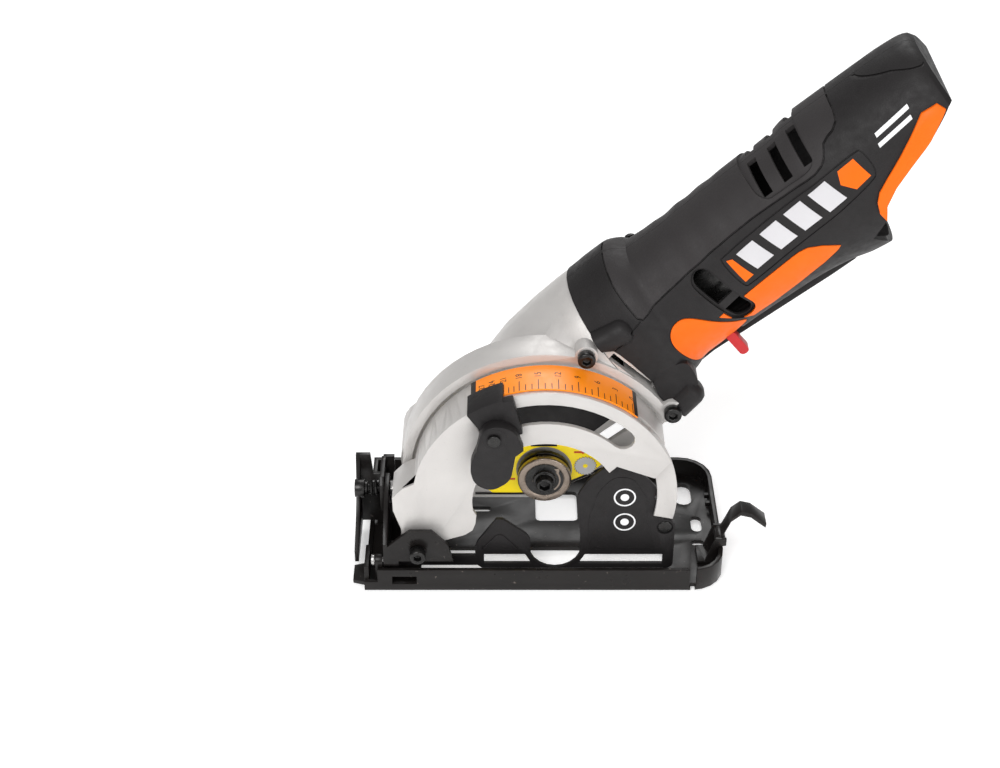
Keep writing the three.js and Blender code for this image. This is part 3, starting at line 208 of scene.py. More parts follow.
LOOKS = {
    "cast_silver": cast_silver(),
    "black_steel": black_steel(),
    "black_plastic": black_plastic(),
    "handle_shell": black_plastic(),
    "dark_steel": metal("dark_steel", (0.02, 0.02, 0.02), (0.06, 0.058, 0.057), 0.3),
    "bright_steel": metal("bright_steel", (0.4, 0.39, 0.38), (0.62, 0.61, 0.6), 0.28),
    "bronze": metal("bronze", (0.35, 0.24, 0.14), (0.5, 0.36, 0.22), 0.4),
    "flange_bronze": metal("flange_bronze", (0.2, 0.16, 0.13), (0.34, 0.28, 0.235), 0.3),
    "copper": metal("copper", (0.55, 0.27, 0.12), (0.75, 0.4, 0.2), 0.3),
    "orange_plastic": plain_plastic("orange_plastic", (0.86, 0.125, 0.0), (0.94, 0.155, 0.0), 0.5),
    "red_plastic": plain_plastic("red_plastic", (0.45, 0.022, 0.025), (0.58, 0.032, 0.036), 0.4),
}
GRIP_RUBBER = rubber()
SILVER_INK = ink("silver_ink", (0.62, 0.61, 0.63), 0.35)
WHITE_INK = ink("white_ink", (0.85, 0.85, 0.86))
DARK_INK = ink("dark_ink", (0.012, 0.011, 0.01))
YELLOW_INK = ink("yellow_ink", (1.0, 0.76, 0.02), 0.35, 0.03, 0.3)
# The orange scale's glow is painted light that brightens the band; it lies on the case's outside, not in the
# chamber.
SCALE_ORANGE = ink("scale_orange", (1.0, 0.27, 0.006), 0.35, 0.05, 0.12)
RED_INK = ink("red_ink", (0.75, 0.06, 0.03))


# ---- pieces from CAD nodes ----
SHARP = 35                        # degrees between faces that count as an edge
FLAT = 0.5                        # degrees between faces that count as one face
LEAST_CORNER = 12                 # degrees of an outline's corner that is worth rounding


def body_of_node(node):
    bodies = frame["record"]["behaviour"]["bodies"]
    return next(body for body, nodes in bodies.items() if node in nodes)


def slot_of_node(node):
    return next(s["material_slot"] for s in frame["record"]["subparts"] if s["node"] == node)


def smooth(obj, angle=SHARP):
    """Smooth shading that stays sharp at edges above an angle in degrees."""
    obj.data.polygons.foreach_set("use_smooth", [True] * len(obj.data.polygons))
    obj.data.set_sharp_from_angle(angle=math.radians(angle))


def apply_all(obj):
    """Applies an object's modifiers to its mesh."""
    graph = bpy.context.evaluated_depsgraph_get()
    mesh = bpy.data.meshes.new_from_object(obj.evaluated_get(graph))
    obj.modifiers.clear()
    obj.data = mesh


def soften_outline(bm, turn, width):
    """Rounds the corners of a sheet that lies square to Y, where both sides are long enough."""
    corners = []
    for edge in bm.edges:
        along = (turn @ (edge.verts[1].co - edge.verts[0].co)).normalized()
        if abs(along.y) < 0.99 or len(edge.link_faces) != 2 or not edge.is_convex:
            continue
        reach = min(face.calc_area() for face in edge.link_faces) / edge.calc_length()
        if reach > 2 * width and edge.calc_face_angle(0) > math.radians(LEAST_CORNER):
            corners.append(edge)
    bmesh.ops.bevel(bm, geom=corners, offset=width, segments=5, profile=0.5, affect="EDGES",
                    clamp_overlap=True)


def dress(node, width, corner):
    """A copy of a CAD node with rounded edges and smooth shading, in its place."""
    source = bpy.data.objects[node]
    mesh = source.data.copy()
    piece = bpy.data.objects.new(node + "_skin", mesh)
    bpy.context.scene.collection.objects.link(piece)
    piece.matrix_world = source.matrix_world.copy()
    bm = bmesh.new()
    bm.from_mesh(mesh)
    bmesh.ops.remove_doubles(bm, verts=bm.verts, dist=1e-6)
    bmesh.ops.dissolve_limit(bm, angle_limit=math.radians(FLAT), verts=bm.verts, edges=bm.edges)
    if corner:
        soften_outline(bm, source.matrix_world.to_3x3(), corner)
    bm.to_mesh(mesh)
    bm.free()
    if width:
        bevel = piece.modifiers.new("bevel", "BEVEL")
        bevel.width = width
        bevel.segments = 2
        bevel.limit_method = "ANGLE"
        bevel.angle_limit = math.radians(SHARP)
        bevel.use_clamp_overlap = True
        bevel.harden_normals = False
        apply_all(piece)
    smooth(piece)
    piece.data.materials.clear()
    piece.data.materials.append(LOOKS[slot_of_node(node)])
    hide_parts(node)
    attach(piece, body_of_node(node))


# ---- handle sizes: a runs along the handle's direction from the part's origin, w across it ----
MID_Y, MID_W = 20.0, 54.0         # the motor axis
COLLAR_A, END_A = 88.0, 265.0     # both ends of the moulded handle
CLEAR = -60                       # well in front of the handle's blade side
SEAM_GAP = 0.1                    # from the parting plane to each half
WALL = 2.8
PROUD = 1.5                       # a tool for the surface stands out by this much
SIDE = 19                         # a side piece reaches in to here
FIT = 0.35                        # gap round an inset piece
INLAY_SHARP = 30                  # degrees
# Place a, and the upper half height, half width and lower half height there.
SECTIONS = [(88, 36.4, 33.6, 33), (98, 37, 34, 34), (107, 37.2, 34, 33), (113, 35, 32, 31),
            (117, 31.6, 29.6, 29.6), (130, 31.6, 28.4, 29.4), (150, 33, 28, 29), (172, 34, 28.6, 29),
            (182, 34.4, 29.4, 29.4), (194, 35, 31, 31), (202, 36.8, 32.2, 33), (212, 37, 32.6, 34),
            (247, 37.4, 32.6, 34), (258, 36.8, 32.2, 33.4), (263, 35.4, 31.4, 32.4), (265, 32.4, 29, 30)]
# Open battery dock, with its edge on the handle's side.
DOCK_ROOM = [(210, -4.5), (210, 29.5), (207, 37.5), (216.5, 42.5), (220.5, 49), (228, 54), (238, 58),
             (250, 62.5), (263, 69), (325, 69), (325, -4.5)]
# Lines on the side of the handle: edge of the soft grip, sleeve seam and end lobe.
GRIP_LINE = [(108.4, 93), (107.8, 88), (107.6, 83.7), (108.4, 76.2), (109.2, 70), (110.6, 68.3), (113, 68.3),
             (127, 69.8), (140, 71.3), (157, 73.3), (172, 74.6), (190, 75.4), (205, 76.4), (209, 77.6),
             (211.6, 79.4), (214.4, 83), (217, 84), (220.1, 84.6), (223.2, 86.2), (224.5, 88.9), (224.6, 94)]
SLEEVE_LINE = [(109.4, 68.6), (94.4, 65.1), (88, 63.6)]
LOBE_LINE = [(226, 94), (239, 91), (252, 88.4), (264, 84)]
# Orange cheek and stripe, framed panel and what is printed on it.
TEARDROP = [(114.2, 54.6), (116.9, 56.8), (120.7, 57.7), (124.1, 56.8), (127.7, 53.4), (131.4, 48.2),
            (136.1, 41.8), (139.4, 38), (143.1, 34.6), (138, 32.4), (132.9, 31), (127, 29.4), (121.5, 27.6),
            (117.2, 27.2), (114.6, 29), (113.4, 32.6), (112.9, 38), (112.6, 45.1), (112.8, 50.7)]
STRIPE = [(135, 46.9), (147, 48.8), (179.6, 52.8), (184, 52.4), (189.5, 49.6), (195.6, 44.6), (193, 42.6),
          (184.8, 39.6), (171.6, 36.6), (156, 34.2), (145.4, 34), (140.6, 38.8)]
PANEL = [(151, 67.6), (152.6, 52.8), (154.6, 51.6), (179, 54.8), (222, 61.6), (226.4, 64.6), (226.2, 74),
         (223.6, 76.2), (153, 69.2)]
BAR_LOW = [(153.4, 66.6), (154.4, 54.4), (159, 55.2), (156, 65.8)]
BAR_HIGH = [(213, 73), (221, 73.6), (223, 64.6), (215.2, 63.2), (211, 68.2)]
PANEL_RISE = 0.125                # slope of the row of bars against the handle


def panel_bar(a):
    w = PANEL_RISE * (a - 160)
    return [(a, 56.2 + w), (a + 9, 57.4 + w), (a + 5.6, 67.6 + w), (a - 3.4, 66.4 + w)]


SILVER_BARS = [panel_bar(a) for a in (162, 175, 188, 201)]
SMALL_BARS = [[(232.2 + s, 71.4 + t), (249 + s, 73.4 + t), (249.2 + s, 75 + t), (232.4 + s, 73 + t)]
              for s, t in ((0, 0), (1.2, 3.6))]
VENT_PANEL = [(177.6, 100), (177.8, 88), (179, 85), (179.4, 81.3), (180.5, 79), (182.6, 77.2), (185, 76.8),
              (201.7, 78), (205.5, 79), (207.3, 80.8), (208, 83.8), (208.2, 100)]
# Silver shoulder of the case beside the collar, and the ends of its slot.
SHOULDER = [(80, 68.5), (89.2, 68.5), (91.6, 66), (93.4, 61), (94.6, 55), (95, 48), (94.8, 42), (93.4, 36),
            (91.4, 31), (89.4, 28), (80, 28)]
SLOT_ENDS = ((89.6, 63.4), (92.4, 37.4))
# Collar lobes behind the case screws: both ends, their y and their radius.
FACE_BOSSES = [((88.5, 70), (104, 68.5), -8.6, 6.2), ((95, 22.5), (108, 24.5), -8.4, 6.4)]
# Web that ties the lower lobe to the collar, and the hook under the collar.
BOSS_WEB = [(92, 24), (108.5, 25), (112, 33), (112, 42), (92, 42)]
COLLAR_HOOK = [(91, 30), (89, 20), (91, 12.5), (95, 10.5), (98, 12), (101, 19), (102.6, 22), (102.6, 30)]
# Rooms cut through the shell for the trigger and the lock-off button.
TRIGGER_ROOM = [(102.8, 0), (102.8, 35), (190, 35), (204, 29.4), (204, 0)]
LOCK_ROOM = [(128, 18), (137, 18), (137, 32.6), (128, 32.6)]
DRUM_ROOM = 63.8                  # radius that the collar keeps clear about the spindle
WAVES = (120, 172)                # stretch of the grip with finger waves
WAVE_CREST, WAVE_PITCH, WAVE_DEPTH = 124, 13, 0.6
WAVE_FLANK = 38                   # degrees from the top where the waves are deepest
TOP_VENTS = (184, 194.5, 205)
TOP_VENT_FROM, TOP_VENT_TURN = 50, 34     # degrees round the motor axis, from its side
TOP_VENT_HALF = 2.2
SIDE_VENT = ((140.6, 65.0), (144.6, 43.0))


# ---- handle shapes ----
def at(a, y, w):
    """Place in the frame from a place along the handle, y, and a place across it."""
    return Vector((a * COS - w * SIN, y, a * SIN + w * COS)) * MM


def half_sizes(a):
    """Upper, side and lower half sizes at a place along the handle, as a smooth curve."""
    rows = SECTIONS
    last = len(rows) - 2
    i = next((k for k in range(last + 1) if a <= rows[k + 1][0]), last)
    t = (a - rows[i][0]) / (rows[i + 1][0] - rows[i][0])

    def slope(k, c):
        if k == 0 or k == len(rows) - 1:
            return 0.0
        left = (rows[k][c] - rows[k - 1][c]) / (rows[k][0] - rows[k - 1][0])
        right = (rows[k + 1][c] - rows[k][c]) / (rows[k + 1][0] - rows[k][0])
        return 0.0 if left * right <= 0 else 2 * left * right / (left + right)

    span = rows[i + 1][0] - rows[i][0]
    out = []
    for c in (1, 2, 3):
        p0, p1, m0, m1 = rows[i][c], rows[i + 1][c], slope(i, c) * span, slope(i + 1, c) * span
        out.append((2 * t**3 - 3 * t**2 + 1) * p0 + (t**3 - 2 * t**2 + t) * m0
                   + (3 * t**2 - 2 * t**3) * p1 + (t**3 - t**2) * m1)
    return out


def dent(a, angle):
    """Shallow finger waves of the soft grip, deepest on the upper flank."""
    start, end = WAVES
    if not start < a < end:
        return 0.0
    flank = max(0.0, math.cos(2 * (abs(math.degrees(angle) - 90) - WAVE_FLANK) * math.pi / 180))
    fade = math.sin(math.pi * (a - start) / (end - start))
    wave = 0.5 + 0.5 * math.cos(2 * math.pi * (a - WAVE_CREST) / WAVE_PITCH)
    return WAVE_DEPTH * flank * fade * wave


def mesh_object(name, verts, faces):
    """Linked object from points and faces, with its faces turned outwards."""
    mesh = bpy.data.meshes.new(name)
    mesh.from_pydata(verts, [], faces)
    bm = bmesh.new()
    bm.from_mesh(mesh)
    bmesh.ops.recalc_face_normals(bm, faces=bm.faces)
    bm.to_mesh(mesh)
    bm.free()
    obj = bpy.data.objects.new(name, mesh)
    bpy.context.scene.collection.objects.link(obj)
    return obj


def tube_faces(around, rows):
    """Faces of a closed tube whose points run ring by ring."""
    faces = []
    for r in range(rows):
        for k in range(around):
            n = (k + 1) % around
            faces.append((r * around + k, r * around + n, (r + 1) * around + n, (r + 1) * around + k))
    faces.append(tuple(range(around)))
    faces.append(tuple(rows * around + k for k in range(around)))
    return faces


def slab_faces(n):
    """Faces of a slab whose points are one outline and then the other."""
    faces = [tuple(range(n)), tuple(range(n, 2 * n))]
    return faces + [(i, (i + 1) % n, n + (i + 1) % n, n + i) for i in range(n)]


def barrel(grow=0.0, start=COLLAR_A, end=END_A, around=112, rows=104):
    """Closed body of the handle, grown or shrunk evenly; the inside of the wall has no waves."""
    verts = []
    for i in range(rows + 1):
        a = start + (end - start) * i / rows
        high, wide, low = half_sizes(a)
        for k in range(around):
            angle = 2 * math.pi * k / around
            up = math.sin(angle)
            half = high if up > 0 else low
            deep = dent(a, angle) if grow > -2 else 0
            y = MID_Y + (wide + grow - deep) * math.cos(angle)
            verts.append(at(a, y, MID_W + (half + grow - deep) * up))
    return mesh_object("barrel", verts, tube_faces(around, rows))


def prism(outline, y0, y1, place=at, name="prism"):
    """Outline of handle places pushed from y0 to y1."""
    verts = [place(a, y0, w) for a, w in outline] + [place(a, y1, w) for a, w in outline]
    return mesh_object(name, verts, slab_faces(len(outline)))


def plain_place(x, y, z):
    """Place in the frame, for a prism whose outline is of x and z."""
    return Vector((x, y, z)) * MM


def merge(objects, name="merged"):
    """One object in place of several that don't touch."""
    verts, faces = [], []
    for obj in objects:
        base = len(verts)
        verts += [v.co.copy() for v in obj.data.vertices]
        faces += [tuple(base + i for i in p.vertices) for p in obj.data.polygons]
        drop(obj)
    return mesh_object(name, verts, faces)


def drop(obj):
    mesh = obj.data
    bpy.data.objects.remove(obj)
    if mesh.users == 0:
        bpy.data.meshes.remove(mesh)


def combine(target, tool, operation):
    """Boolean of two closed objects; the tool is used up."""
    modifier = target.modifiers.new("combine", "BOOLEAN")
    modifier.operation = operation
    modifier.solver = "MANIFOLD"
    modifier.object = tool
    apply_all(target)
    drop(tool)
    return target


def cut(target, tool):
    return combine(target, tool, "DIFFERENCE")


def ribbon(points, width, y0, y1):
    """Thin prism that follows a line."""
    left, right = [], []
    for i, (a, w) in enumerate(points):
        p, q = points[max(i - 1, 0)], points[min(i + 1, len(points) - 1)]
        da, dw = q[0] - p[0], q[1] - p[1]
        size = math.hypot(da, dw)
        na, nw = -dw / size * width / 2, da / size * width / 2
        left.append((a + na, w + nw))
        right.append((a - na, w - nw))
    return prism(left + right[::-1], y0, y1)


def rounded(points, steps=3):
    """Corner-cutting rounding of an outline."""
    for _ in range(steps):
        out = []
        for i, p in enumerate(points):
            q = points[(i + 1) % len(points)]
            out.append((0.75 * p[0] + 0.25 * q[0], 0.75 * p[1] + 0.25 * q[1]))
            out.append((0.25 * p[0] + 0.75 * q[0], 0.25 * p[1] + 0.75 * q[1]))
        points = out
    return points


def shrunk(points, by):
    """Outline moved inwards by a distance."""
    area = sum(p[0] * q[1] - q[0] * p[1] for p, q in zip(points, points[1:] + points[:1]))
    way = 1 if area > 0 else -1
    out = []
    for i, (a, w) in enumerate(points):
        p, q = points[i - 1], points[(i + 1) % len(points)]
        da, dw = q[0] - p[0], q[1] - p[1]
        size = math.hypot(da, dw) or 1
        out.append((a - way * dw / size * by, w + way * da / size * by))
    return out


def skin(outside, inside):
    """Layer of the handle's surface between two distances from it."""
    return combine(barrel(outside, 86, 266), barrel(inside, 84, 268), "DIFFERENCE")


def surface(depth, tool):
    """The part of a tool within a depth under the handle's surface."""
    return combine(skin(PROUD, -depth), tool, "INTERSECT")


def box_outline(a0, a1, w0, w1):
    return [(a0, w0), (a1, w0), (a1, w1), (a0, w1)]


def top_vents(far):
    """Tools for the slots over the fan, each a slice of a ring about the motor axis."""
    sign = 1 if far else -1
    steps = 8
    tools = []
    for a in TOP_VENTS:
        ring = []
        for radius, sweep in ((45, range(steps + 1)), (20, range(steps, -1, -1))):
            for i in sweep:
                angle = math.radians(TOP_VENT_FROM + TOP_VENT_TURN * i / steps)
                ring.append((radius * math.cos(angle), radius * math.sin(angle)))
        verts = []
        for side in (a - TOP_VENT_HALF, a + TOP_VENT_HALF):
            verts += [at(side, MID_Y + sign * c, MID_W + s) for c, s in ring]
        tools.append(mesh_object("vent", verts, slab_faces(len(ring))))
    return merge(tools)


def side_vent(start=0, stop=1, half=4.3, y0=-40, y1=8):
    """Tool for a stretch of the long side vent, from and to a share of its length; its own ends are round."""
    (a0, w0), (a1, w1) = SIDE_VENT
    length = math.hypot(a1 - a0, w1 - w0)
    ua, uw = (a1 - a0) / length, (w1 - w0) / length
    turns = [math.pi * i / 8 for i in range(9)]
    low = [(start * length, half), (start * length, -half)]
    if start == 0:
        low = [(-half * math.sin(t), half * math.cos(t)) for t in turns]
    high = [(stop * length, -half), (stop * length, half)]
    if stop == 1:
        high = [(length + half * math.sin(t), -half * math.cos(t)) for t in turns]
    points = [(a0 + ua * along - uw * across, w0 + uw * along + ua * across) for along, across in low + high]
    return prism(points, y0, y1)


def mirrored(obj):
    """Turns a mesh into its mirror image across the parting plane."""
    for v in obj.data.vertices:
        v.co.y = 2 * MID_Y * MM - v.co.y
    obj.data.flip_normals()
    return obj


def drum_room():
    """Room for the saw's round case, which the near half meets."""
    steps = 96
    turns = [2 * math.pi * i / steps for i in range(steps)]
    outline = [(DRUM_ROOM * math.sin(t), SPINDLE_Z + DRUM_ROOM * math.cos(t)) for t in turns]
    return prism(outline, CLEAR, 2.3, plain_place)


def bosses():
    """Lobes of the collar behind the two case screws, with rounded ends."""
    around = 20
    out = []
    for (a0, w0), (a1, w1), y, radius in FACE_BOSSES:
        rings = [(a0, w0, 1), (a1 - 3, w1, 1), (a1 - 0.8, w1, 0.82), (a1 + 0.6, w1, 0.45)]
        verts = []
        for a, w, share in rings:
            for k in range(around):
                angle = 2 * math.pi * k / around
                verts.append(at(a, y + radius * share * math.cos(angle),
                                w + radius * share * math.sin(angle)))
        out.append(mesh_object("boss", verts, tube_faces(around, len(rings) - 1)))
    return merge(out)


def inside_outline(point, outline):
    a, w = point
    hit = False
    for (a0, w0), (a1, w1) in zip(outline, outline[1:] + outline[:1]):
        if (w0 > w) != (w1 > w) and a < (a1 - a0) * (w - w0) / (w1 - w0) + a0:
            hit = not hit
    return hit


def along_across(co):
    """Place along and across the handle of a point of a mesh."""
    x, z = co.x / MM, co.z / MM
    return x * COS + z * SIN, -x * SIN + z * COS


def cut_rooms(body, near):
    """Opens a closed body into one hollow half with its openings."""
    cut(body, barrel(-WALL, COLLAR_A - 2, END_A - 2.6, 64, 60))
    seam = MID_Y - SEAM_GAP if near else MID_Y + SEAM_GAP
    other_side = (seam, 130) if near else (-90, seam)
    cut(body, prism(box_outline(60, 300, -20, 140), *other_side))
    cut(body, drum_room())
    cut(body, prism(DOCK_ROOM, CLEAR, 100))
    cut(body, prism(TRIGGER_ROOM, 10.7, 29.3))
    if near:
        cut(body, prism(LOCK_ROOM, 0, 10.8))


def cut_relief(body, near):
    """Vents, seams, the frame of the side panel and the seats of the orange pieces."""
    on_side = (lambda tool: tool) if near else mirrored
    cut(body, surface(0.9, prism(rounded(VENT_PANEL, 1), CLEAR, MID_Y - 0.05 if near else 100)))
    cut(body, top_vents(not near))
    cut(body, on_side(merge([side_vent(0, 0.56), side_vent(0.74, 1)])))
    cut(body, on_side(surface(1.3, side_vent(half=5.4, y0=CLEAR))))
    lines = merge([ribbon(GRIP_LINE, 0.75, CLEAR, SIDE), ribbon(LOBE_LINE, 0.5, CLEAR, SIDE)])
    cut(body, on_side(surface(0.75, lines)))
    frame_line = rounded(PANEL, 2)
    rim = cut(prism(frame_line, CLEAR, 14), prism(shrunk(frame_line, 0.6), CLEAR - 1, 15))
    cut(body, on_side(surface(0.5, merge([rim, ribbon(SLEEVE_LINE, 0.7, CLEAR, 14)]))))
    if near:
        cut(body, prism(SHOULDER, CLEAR, 0))
    for outline in (rounded(TEARDROP, 2), STRIPE):
        cut(body, on_side(surface(0.8, prism(outline, CLEAR, SIDE))))


def handle_shell(near):
    body = barrel()
    combine(body, prism(rounded(COLLAR_HOOK, 2), 8, 32), "UNION")
    if near:
        combine(body, bosses(), "UNION")
        combine(body, prism(rounded(BOSS_WEB, 2), -11.5, 4), "UNION")
    cut_rooms(body, near)
    cut_relief(body, near)
    return body


def paint_grip(body):
    """Soft grip above its boundary line, hard plastic below."""
    body.data.materials.clear()
    body.data.materials.append(LOOKS["handle_shell"])
    body.data.materials.append(GRIP_RUBBER)
    region = GRIP_LINE + [(GRIP_LINE[-1][0], 140), (GRIP_LINE[0][0], 140)]
    for polygon in body.data.polygons:
        if inside_outline(along_across(polygon.center), region):
            polygon.material_index = 1


def finish_piece(piece, look, body, angle=SHARP):
    smooth(piece, angle)
    piece.data.materials.clear()
    piece.data.materials.append(look)
    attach(piece, body)


def inlay(name, outline, raised, depth, look):
    """A piece on each side of the handle that follows its surface."""
    for side in ("near", "far"):
        piece = combine(skin(raised, -depth), prism(outline, CLEAR, SIDE), "INTERSECT")
        if side == "far":
            mirrored(piece)
        piece.name = f"{name}_{side}"
        finish_piece(piece, look, "housing", INLAY_SHARP)


def make_stripes():
    """Orange stripe on each side, which stops at the cheek and round the side vent."""
    near = combine(skin(0.2, -0.6), prism(shrunk(STRIPE, FIT), CLEAR, SIDE), "INTERSECT")
    cut(near, side_vent(half=6.0, y0=CLEAR, y1=10))
    cut(near, prism(rounded(shrunk(TEARDROP, -0.1), 2), CLEAR, SIDE))
    far = near.copy()
    far.data = near.data.copy()
    bpy.context.scene.collection.objects.link(far)
    mirrored(far)
    for piece, side in ((near, "near"), (far, "far")):
        piece.name = "orange_stripe_" + side
        finish_piece(piece, LOOKS["orange_plastic"], "housing", INLAY_SHARP)


def make_handle():
    for side in ("near", "far"):
        body = handle_shell(side == "near")
        body.name = f"handle_{side}_shell"
        smooth(body, 32)
        paint_grip(body)
        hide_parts(f"handle_{side}")
        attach(body, "housing")
    orange = LOOKS["orange_plastic"]
    inlay("orange_cheek", rounded(shrunk(TEARDROP, FIT), 2), 0.25, 0.6, orange)
    make_stripes()
    for label, outline in (("low", BAR_LOW), ("high", BAR_HIGH)):
        inlay("panel_mark_" + label, outline, 0.12, 0.1, orange)
    for i, outline in enumerate(SILVER_BARS):
        inlay(f"panel_bar_{i + 1}", outline, 0.12, 0.1, SILVER_INK)
    for i, outline in enumerate(SMALL_BARS):
        inlay(f"small_bar_{i + 1}", outline, 0.1, 0.1, WHITE_INK)


def make_shoulder():
    """Silver casting that shows in front of the collar, with its long cooling slot."""
    face = combine(skin(-0.5, -3.2), prism(shrunk(SHOULDER, FIT), CLEAR, -0.4), "INTERSECT")
    (a0, w0), (a1, w1) = SLOT_ENDS
    middle = [(a0 + (a1 - a0) * t + 1.0 * math.sin(math.pi * t), w0 + (w1 - w0) * t)
              for t in (0, 0.2, 0.4, 0.6, 0.8, 1)]
    cut(face, ribbon(middle, 3.4, CLEAR, 10))
    cut(face, prism(box_outline(80, COLLAR_A + 0.1, 0, 120), -80, 60))
    face.name = "case_shoulder"
    finish_piece(face, LOOKS["cast_silver"], "housing")


# ---- printed details; angles in degrees from straight up, growing towards +X ----
SCALE_MARKS = [(0, 38.3), (3, 29.9), (6, 21.6), (9, 13.1), (12, 4.8), (15, -3.5), (18, -11.4), (21, -18),
               (24, -23.1), (27, -27.7)]      # millimetres of cut, and their angle
SCALE_RADIUS = 59.2
SCALE_NEAR, SCALE_FAR = -33.4, -15.4
SCALE_FROM, SCALE_TO = -33, 41
PRINT_TOP = SCALE_RADIUS + 0.05
LONG_TICK, SHORT_TICK = 7.4, 4.4
DIGIT_SIZE, DIGIT_PLACE = 4.0, 11
LABEL_OUTLINE = [(-31, 31.2), (1.2, 31.2), (26, 44.3), (26, 58), (18, 66), (-18, 66), (-31, 58)]
LABEL_EDGE = [(-31, 30.2), (-0.7, 30.2), (26, 44.3), (26, 45.6), (-1.1, 31.4), (-31, 31.4)]
LABEL_BLOCK = [(-6.1, 57.3), (5.6, 57.3), (5.6, 62), (-6.1, 62)]
LABEL_ARROW = [(-18.6, 39.1), (-16.6, 37.9), (-16.6, 38.6), (-13, 38.6), (-13, 39.6), (-16.6, 39.6),
               (-16.6, 40.3)]
LABEL_DISCS = (("label_disc_low", -25.6, 44.1, 5.0), ("label_disc_high", 18.4, 46.4, 4.4))
LABEL_PRINT = (WEB_FACE - 0.22, WEB_FACE - 0.1)
GUARD_MARKS = ((35.2, 43.2), (35.6, 29.4))
GUARD_PRINT = (-30.02, -29.9)
FLANGE_PLATE, FLANGE_PRINT = (-19.12, -18.9), (-19.2, -19.05)


def round_place(radius, angle, y):
    """Place in the frame from a radius and angle about the spindle."""
    t = math.radians(angle)
    return Vector((radius * math.sin(t), y, SPINDLE_Z + radius * math.cos(t))) * MM


def patch(name, inner, outer, a0, a1, steps, look):
    """Curved plate about the spindle, as wide as the scale."""
    verts = []
    for i in range(steps + 1):
        angle = a0 + (a1 - a0) * i / steps
        corners = ((inner, SCALE_NEAR), (outer, SCALE_NEAR), (outer, SCALE_FAR), (inner, SCALE_FAR))
        verts += [round_place(radius, angle, y) for radius, y in corners]
    faces = tube_faces(4, steps)
    piece = mesh_object(name, verts, faces)
    finish_piece(piece, look, "housing")
    return piece


def numeral(text):
    """Digits as a flat mesh in millimetres, centred on the origin."""
    curve = bpy.data.curves.new("digits", "FONT")
    curve.body = text
    curve.size = DIGIT_SIZE
    curve.align_x = "CENTER"
    curve.align_y = "CENTER"
    curve.extrude = 0.06
    obj = bpy.data.objects.new("digits", curve)
    bpy.context.scene.collection.objects.link(obj)
    graph = bpy.context.evaluated_depsgraph_get()
    mesh = bpy.data.meshes.new_from_object(obj.evaluated_get(graph))
    bpy.data.objects.remove(obj)
    bpy.data.curves.remove(curve)
    return mesh


def tick(angle, long, half=0.18):
    """Thin line across the scale's near edge."""
    low = SCALE_RADIUS - 0.03
    verts = []
    for y in (SCALE_NEAR + 0.3, SCALE_NEAR + long):
        verts += [round_place(low, angle - half, y), round_place(low, angle + half, y),
                  round_place(PRINT_TOP, angle + half, y), round_place(PRINT_TOP, angle - half, y)]
    return mesh_object("tick", verts, slab_faces(4))


def make_ticks():
    """A long tick at each number and two short ones on the way to the next."""
    ticks = []
    for (_, start), (_, stop) in zip(SCALE_MARKS, SCALE_MARKS[1:]):
        ticks.append(tick(start, LONG_TICK))
        for i in (1, 2):
            ticks.append(tick(start + (stop - start) * i / 3, SHORT_TICK))
    ticks.append(tick(SCALE_MARKS[-1][1], LONG_TICK))
    finish_piece(merge(ticks, "scale_ticks"), DARK_INK, "housing")


def make_digits():
    """Numbers laid on the scale, read from its end."""
    for value, angle in SCALE_MARKS:
        mesh = numeral(str(value))
        for v in mesh.vertices:
            v.co = round_place(SCALE_RADIUS + 0.02 + max(0.0, v.co.z) * 0.5,
                               angle - math.degrees(v.co.y / SCALE_RADIUS), SCALE_NEAR + DIGIT_PLACE + v.co.x)
        digits = bpy.data.objects.new(f"scale_digit_{value}", mesh)
        bpy.context.scene.collection.objects.link(digits)
        finish_piece(digits, DARK_INK, "housing")


def make_scale():
    band = patch("depth_scale_band", SCALE_RADIUS - 0.7, SCALE_RADIUS, SCALE_FROM, SCALE_TO, 96, SCALE_ORANGE)
    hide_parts("depth_scale")
    ends = (("scale_end_low", SCALE_TO - 2, SCALE_TO), ("scale_end_high", SCALE_FROM, SCALE_FROM + 2.4))
    for name, a0, a1 in ends:
        patch(name, SCALE_RADIUS - 0.02, PRINT_TOP, a0, a1, 4, DARK_INK)
    make_ticks()
    make_digits()


def disc(cx, cz, radius, steps=32):
    turns = [2 * math.pi * i / steps for i in range(steps)]
    return [(cx + radius * math.sin(t), cz + radius * math.cos(t)) for t in turns]


def toothed(cx, cz, radius, teeth, height):
    """Outline of a saw blade's picture."""
    points = []
    for i in range(teeth):
        t0, t1 = 2 * math.pi * i / teeth, 2 * math.pi * (i + 0.75) / teeth
        points.append((cx + (radius + height) * math.sin(t0), cz + (radius + height) * math.cos(t0)))
        points.append((cx + radius * math.sin(t1), cz + radius * math.cos(t1)))
    return points


def arc_band(inner, outer, start, stop, steps=16):
    """Outline of a curved strip about the spindle."""
    out = []
    for radius, sweep in ((outer, range(steps + 1)), (inner, range(steps, -1, -1))):
        for i in sweep:
            t = math.radians(start + (stop - start) * i / steps)
            out.append((radius * math.sin(t), SPINDLE_Z + radius * math.cos(t)))
    return out


def plate(name, outline, depth, look, body, hole=None):
    """Flat piece between two y, with an outline of x and z and one hole at most."""
    y0, y1 = depth
    piece = prism(outline, y0, y1, plain_place, name)
    if hole:
        cut(piece, prism(hole, y0 - 1, y1 + 1, plain_place))
    piece.name = name
    finish_piece(piece, look, body)


def on_web(name, outline, depth, look, hole=None):
    plate(name, outline, depth, look, "housing", hole)


